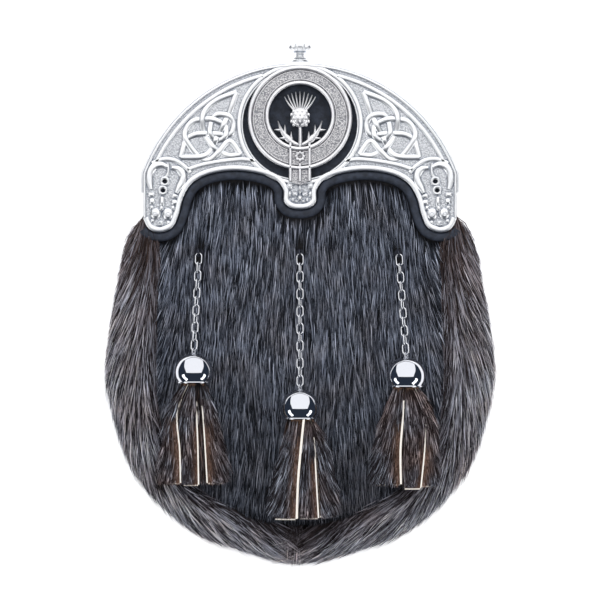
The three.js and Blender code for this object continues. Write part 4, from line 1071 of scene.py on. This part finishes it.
def growRuff(side):  # side -1 is the left half
    hairs = ruff["hairs"]
    rng = np.random.default_rng(ruff["seed"] + side)
    flat = jitteredGrid((0, 0), (ruff["run"], ruff["overRun"] * ruff["furthest"]), ruff["spacing"], rng)
    share = flat[:, 0] / ruff["run"] * 0.5
    over = np.clip(flat[:, 1] / ruff["overRun"], 0.002, ruff["furthest"])
    if side > 0:
        share = 1 - share
    clumps = len(share)
    count = clumps * hairs
    share, over = np.repeat(share, hairs), np.repeat(over, hairs)
    clumpTone = np.repeat(rng.random(clumps), hairs)
    root = ruffPlace(share, over)
    along, across, up, alongScale, acrossScale = ruffAxes(share, over)
    toTip = -side  # towards the point at the bottom
    toPoint = 1 - np.abs(share - 0.5) * 2  # 0 at the top corners, 1 at the point
    crossing = rng.random(count) * (ruff["crossLeft"] if side < 0 else ruff["crossRight"])  # past the middle
    angle = np.interp(toPoint, *ruffAngle) - np.interp(over, *seamAngle) * np.interp(toPoint, *seamReach)
    angle += 0.12 * wander(root[:, 0], root[:, 1], 11, 1.9)
    angle += np.repeat(rng.normal(0, 0.1, clumps), hairs) + rng.normal(0, 0.07, count)
    guard = rng.random(count) < ruff["guards"]  # long pale hairs that stand off the rest; their bright tones are partly painted highlight
    angle += np.where(guard, rng.uniform(-0.05, 0.3, count), 0)
    ahead = toTip * along * np.cos(angle)[:, None] + across * np.sin(angle)[:, None]
    clumpLength = ruff["length"] * np.repeat(rng.uniform(0.7, 1.2, clumps), hairs)
    length = clumpLength * rng.uniform(0.65, 1.15, count) * np.interp(over, *ruffLength)
    follow = np.interp(over, [0.3, 0.5], [ruff["follow"], ruff["edgeFollow"]])
    sideways = rng.normal(0, ruff["spread"], (count, 2))
    offset = along * sideways[:, :1] + across * sideways[:, 1:]
    lift = ruff["lift"] * (0.45 + 1.3 * rng.random(count) ** 2)
    rises = [np.full(count, -ruff["depth"]), 0.55 * lift, 1.0 * lift, 1.3 * lift]
    paths = np.zeros((count, 4, 3))
    for k, part in enumerate([0, 0.3, 0.65, 1.0]):
        run = length * part
        straight = root + ahead * run[:, None]
        nextShare = share + toTip * run * np.cos(angle) / alongScale
        if side < 0:
            limit = np.minimum(nextShare, np.maximum(share, ruff["meet"] + crossing))
        else:
            limit = np.maximum(nextShare, ruff["meet"] - crossing)
        curved = ruffPlace(limit, over + run * np.sin(angle) / acrossScale)
        past = np.abs(nextShare - limit) * alongScale  # where the halves meet a hair turns down
        curved[:, 1] -= past * ruff["droop"]
        bend = np.maximum(follow * min(1, 1.4 * part), np.clip(past / 2, 0, 1))[:, None]
        place = straight * (1 - bend) + curved * bend
        paths[:, k] = place + up * rises[k][:, None] + offset * (1 - ruff["gather"] * part)
    widths = ruff["width"] * rng.uniform(0.5, 1.3, count)
    tones = np.clip(rng.random(count) * 0.85 + 0.72 * (clumpTone - 0.4), 0, 1)
    tones[guard] = rng.uniform(0.72, 1.0, guard.sum())
    paths[guard, 1:] += up[guard, None] * ruff["guardLift"]
    paths[:, :, 2] = np.maximum(paths[:, :, 2], ruff["lowest"])  # off the floor
    tones *= np.interp(toPoint, *cornerShade) * np.interp(over, *outerShade)
    # painted shade in the valley along the seam, where the border fur meets the front fur; pointShade sets
    # how dark it is along the border
    tones *= 1 - np.interp(over, [0.01, 0.11], [1, 0]) * np.interp(toPoint, *pointShade)
    brown = rng.random(count) * np.interp(toPoint, *cornerBrown)
    brown += rng.random(count) * np.interp(over, *seamBrown)
    return paths, up, widths, tones, clumpTone, np.clip(brown, 0, 1)


borderSkin = {"along": 240, "over": 40, "under": 1.6, "lowest": 0.05}
skinRows = []
for share in np.linspace(0, 1, borderSkin["along"]):
    shares = np.full(borderSkin["over"], share)
    overs = np.linspace(0.01, 0.99, borderSkin["over"])
    under = borderSkin["under"] * ruffAxes(shares, overs)[2] * np.sin(np.pi * overs)[:, None] ** 0.3
    skinRows.append(ruffPlace(shares, overs) - under)
skinPoints = np.vstack(skinRows)
skinPoints[:, 2] = np.maximum(skinPoints[:, 2], borderSkin["lowest"])
skinFaces = [face[::-1] for face in gridFaces(borderSkin["along"], borderSkin["over"])]
addPiece("borderSkin", [(skinPoints, skinFaces)], [darkSkin], ["fur_ruff"])
addHair("borderFur_left", *growRuff(-1), ruffHair, "ruff_fur")
addHair("borderFur_right", *growRuff(1), ruffHair, "ruff_fur")
print("border fur grown")


# Tassels: strips of fur on hide, hung round the cap's mouth

strip = {"thick": 1.3, "proud": 1.7, "below": 0.7, "rows": 22, "sides": 9, "hairs": 34, "length": 13.0,
         "width": 0.42, "bare": 2.6, "seed": 41}
core = {"mouth": (5.6, 4.6), "end": (11.6, 6.2), "drop": 1.2, "flare": 0.6, "bodyFlare": 0.75, "inset": 0.93,
        "rows": 12, "sides": 28, "hairs": 3400}
tassels = [  # a strip's edges are rows of left x, right x and y; cut says which edge shows the hide
    {"chain": chains[0], "end": -86.4, "endX": -50.9, "strips": [
        {"rows": [(-55.6, -53.2, -38), (-62.0, -58.8, -52), (-65.0, -57.6, -70), (-66.0, -57.2, -85.6)],
         "cut": 1, "hide": 0.65, "from": 0.2, "lean": -0.2},
        {"rows": [(-52.6, -49.6, -38), (-56.2, -49.5, -52), (-55.6, -48.9, -70), (-55.4, -48.6, -86.4)],
         "cut": 1, "hide": 0.6, "from": 0.22, "lean": -0.05},
        {"rows": [(-47.4, -45.6, -38), (-46.0, -41.2, -52), (-44.8, -38.4, -70), (-43.9, -37.0, -85.6)],
         "cut": -1, "hide": 0.6, "from": 0.24, "lean": 0.42}]},
    {"chain": chains[1], "end": -102.4, "endX": 0.8, "strips": [
        {"rows": [(-4.6, 1.3, -55), (-7.0, 0.0, -68), (-10.0, -1.4, -84), (-11.8, -2.1, -102.6)],
         "cut": 1, "hide": 1.05, "from": 0.02, "lean": -0.42},
        {"rows": [(2.6, 4.8, -55), (2.4, 6.4, -66), (0.9, 7.4, -84), (0.2, 8.5, -102.2)],
         "cut": 1, "hide": 0.65, "from": 0.2, "lean": -0.03},
        {"rows": [(5.0, 6.2, -55), (7.4, 11.0, -66), (8.7, 13.8, -84), (9.6, 15.6, -101.4)],
         "cut": 0, "from": 0.2, "lean": 0.32}]},
    {"chain": chains[2], "end": -87.4, "endX": 48.4, "strips": [
        {"rows": [(44.4, 49.4, -40), (40.4, 48.6, -54), (37.6, 47.4, -70), (36.0, 47.6, -86.2)],
         "cut": 1, "hide": 0.9, "from": 0.18, "lean": -0.34},
        {"rows": [(50.0, 54.4, -40), (49.8, 59.2, -54), (49.8, 59.2, -68), (49.9, 57.2, -88.2)],
         "cut": 1, "hide": 0.55, "from": 0.4, "lean": 0.06},
        {"rows": [(54.8, 56.4, -40), (59.6, 62.6, -54), (59.8, 64.4, -68), (58.0, 64.2, -87.0)],
         "cut": -1, "hide": 0.5, "from": 0.42, "lean": 0.36}]},
]


def tasselTop(tassel):
    return tassel["chain"]["capTop"] - cap["height"] + 2


def tasselSize(tassel, below, flare):  # half the width, half the depth and the middle, below the cap's mouth
    half = core["mouth"][0] + (core["end"][0] - core["mouth"][0]) * below ** flare
    deep = core["mouth"][1] + (core["end"][1] - core["mouth"][1]) * below
    middle = tassel["chain"]["capX"] + (tassel["endX"] - tassel["chain"]["capX"]) * below
    return half, deep, middle


def tasselHeight(tassel, below):  # height of the tassel's middle line
    return hangHeight(tassel["chain"]) - core["drop"] * below


def tasselFront(tassel, x, y):  # height of the tassel's front over x, y
    top = tasselTop(tassel)
    below = np.clip((top - y) / (top - tassel["end"]), 0, 1)
    half, deep, middle = tasselSize(tassel, below, core["flare"])
    bulge = np.sqrt(np.clip(1 - ((x - middle) / (half * 1.35)) ** 2, 0.02, 1))
    return tasselHeight(tassel, below) + deep * bulge


def stripEdges(rows, count):
    line = smoothLine([(y, left, right) for left, right, y in rows], count)
    return line[:, 1], line[:, 2], line[:, 0]


def coreBody(tassel):
    around = np.linspace(0, 2 * np.pi, core["sides"], endpoint=False)
    top = tasselTop(tassel)
    rows = []
    for share in np.linspace(-0.12, 0.97, core["rows"]):  # the first row is up inside the cap
        half, deep, middle = tasselSize(tassel, max(share, 0), core["bodyFlare"])
        x = middle + half * core["inset"] * np.sin(around)
        y = np.full(core["sides"], top + (tassel["end"] - top) * share)
        z = tasselHeight(tassel, max(share, 0)) + (deep - 1.6) * np.cos(around)
        rows.append(np.column_stack([x, y, z]))
    return np.vstack(rows), gridFaces(core["rows"], core["sides"])


def stripBodies(tassel, each):
    left, right, y = stripEdges(each["rows"], strip["rows"])
    share = np.linspace(0, 1, strip["sides"])
    x = left[:, None] + (right - left)[:, None] * share
    top = tasselFront(tassel, x, y[:, None]) + 0.5 * np.sin(np.pi * share) ** 0.5
    upper = np.stack([x, np.broadcast_to(y[:, None], x.shape), top], axis=-1)
    lower = upper[:, ::-1] - (0, 0, strip["thick"])
    fur = np.concatenate([upper, lower], axis=1).reshape(-1, 3)
    skin = np.concatenate([upper - (0, strip["below"], strip["thick"] * 0.55),
                           lower - (0, strip["below"], strip["thick"] * 0.45)], axis=1).reshape(-1, 3)
    faces = gridFaces(strip["rows"], 2 * strip["sides"])
    parts = [(fur, faces, 1), (skin, faces, 0)]
    if each["cut"]:
        parts.append((*cutEdge(tassel, each, right if each["cut"] > 0 else left, y), 0))
    return parts


def cutEdge(tassel, each, x, y):  # the hide's cut edge, which stands up between the strips
    first = int(each["from"] * strip["rows"])
    top = tasselFront(tassel, x, y) + strip["proud"]
    half, deep = each["hide"] / 2, strip["proud"] + 1.6
    middle = x + each["cut"] * half
    low, near, far = top - deep, middle - half, middle + half
    corners = [(near, low), (far, low), (far, top), (near, top)]
    points = np.stack([np.column_stack([across, y, height]) for across, height in corners], axis=1)[first:]
    return points.reshape(-1, 3), gridFaces(len(points), len(corners))


def stripHair(tassel, each, rng):
    left, right, y = stripEdges(each["rows"], 60)
    count = int(strip["hairs"] * abs(y[-1] - y[0]) * 1.75)
    down = rng.random(count) ** 0.85 * 0.985
    spot = rng.random(count)  # 0 at the left edge, 1 at the right one
    step = down * 59
    ahead = np.minimum(step + 8, 59)
    leftX, rightX, rootY = [np.interp(step, np.arange(60), values) for values in (left, right, y)]
    nextLeft, nextRight, nextY = [np.interp(ahead, np.arange(60), values) for values in (left, right, y)]
    wide = rightX - leftX
    x = leftX + wide * spot
    fromCut = (1 - spot) * wide if each["cut"] > 0 else spot * wide
    if not each["cut"]:
        fromCut = np.full(count, 9.0)  # no cut edge shows, so none is near
    shown = down > each["from"]  # below here the cut edge is bare, with short brown underfur beside it
    short = shown & (fromCut < strip["bare"] * rng.uniform(0.6, 1.4, count))
    run = strip["length"] * rng.uniform(0.55, 1.15, count)
    run = np.where(short, rng.uniform(1.5, 4.0, count), run)
    room = rootY - tassel["end"] + rng.uniform(-0.9, 1.0, count)
    run = np.maximum(np.minimum(run, room), 0.5)
    flow = (nextLeft + (nextRight - nextLeft) * spot - x) / np.maximum(rootY - nextY, 0.4)
    away = np.interp(fromCut, [0, 3, 9], [0.1, 0.5, 1.0]) * np.interp(down, [0, 0.25, 0.6], [0.2, 0.55, 1.0])
    lean = np.clip(flow, -0.5, 0.5) + each["lean"] * away + rng.normal(0, 0.06, count)
    lift = np.where(short, rng.uniform(0.2, 0.5, count), rng.uniform(0.5, 1.9, count))
    paths = np.zeros((count, 4, 3))
    for k, (part, rise) in enumerate([(0, -0.2), (0.3, 0.75), (0.65, 1.0), (1, 0.95)]):
        px = x + lean * run * part
        py = rootY - run * part * np.sqrt(np.maximum(1 - lean ** 2, 0.3))
        paths[:, k] = np.column_stack([px, py, tasselFront(tassel, px, py) + 0.35 + lift * rise])
    ups = np.tile([0.0, 0, 1], (count, 1))
    widths = strip["width"] * rng.uniform(0.5, 1.25, count)
    tones = np.clip(rng.random(count) * 0.95 + 0.02, 0, 1)
    nearCut = np.clip(0.85 - fromCut / 4.0, 0.0, 0.58) * shown
    warmth = np.where(short, rng.uniform(0.55, 1.0, count), nearCut)
    return paths, ups, widths, tones, rng.random(count), warmth


def coreHair(tassel, rng):  # hair behind the strips and at the sides
    count = core["hairs"]
    turn = rng.uniform(0, 2 * np.pi, count)
    share = rng.random(count) ** 0.8 * 0.97
    top = tasselTop(tassel)
    drop = top - tassel["end"]
    paths = np.zeros((count, 4, 3))
    run = strip["length"] * rng.uniform(0.6, 1.2, count)
    run = np.maximum(np.minimum(run, drop * (1 - share) + rng.uniform(-0.8, 1.0, count)), 0.6)
    lift = rng.uniform(0.4, 1.9, count)
    splay = rng.normal(0, 0.05, count)
    for k, (part, rise) in enumerate([(0, -0.4), (0.3, 0.5), (0.65, 1.0), (1, 1.2)]):
        below = np.clip(share + run * part / drop, 0, 1.03)
        half, deep, middle = tasselSize(tassel, below, core["flare"])
        grow = lift * rise * np.minimum(1, 0.25 + 3 * share)
        swung = turn + splay * part
        paths[:, k, 0] = middle + (half * core["inset"] + grow * 1.1) * np.sin(swung)
        paths[:, k, 1] = top - drop * below
        paths[:, k, 2] = tasselHeight(tassel, below) + (deep - 1.4 + grow * 0.6) * np.cos(swung)
    outward = np.column_stack([np.sin(turn), np.zeros(count), np.cos(turn)])
    tones = rng.random(count) * 0.9
    widths = strip["width"] * rng.uniform(0.5, 1.25, count)
    clumpTone = rng.random(count)
    return paths, outward, widths, tones, clumpTone, np.where(rng.random(count) < 0.2, 0.4, 0.0)


for number, tassel in enumerate(tassels):
    name = tassel["chain"]["name"]
    rng = np.random.default_rng(strip["seed"] + number)
    bodies = [(*coreBody(tassel), 2)]
    hairs = [coreHair(tassel, rng)]
    for each in tassel["strips"]:
        bodies += stripBodies(tassel, each)
        hairs.append(stripHair(tassel, each, rng))
    addPiece("tasselStrips_" + name, bodies, [hide, underfur, darkSkin], ["tassel_" + name])
    joined = [np.concatenate(columns) for columns in zip(*hairs)]
    addHair("tasselFur_" + name, *joined, tasselHair, "tassel_fur")
print("tassels made")
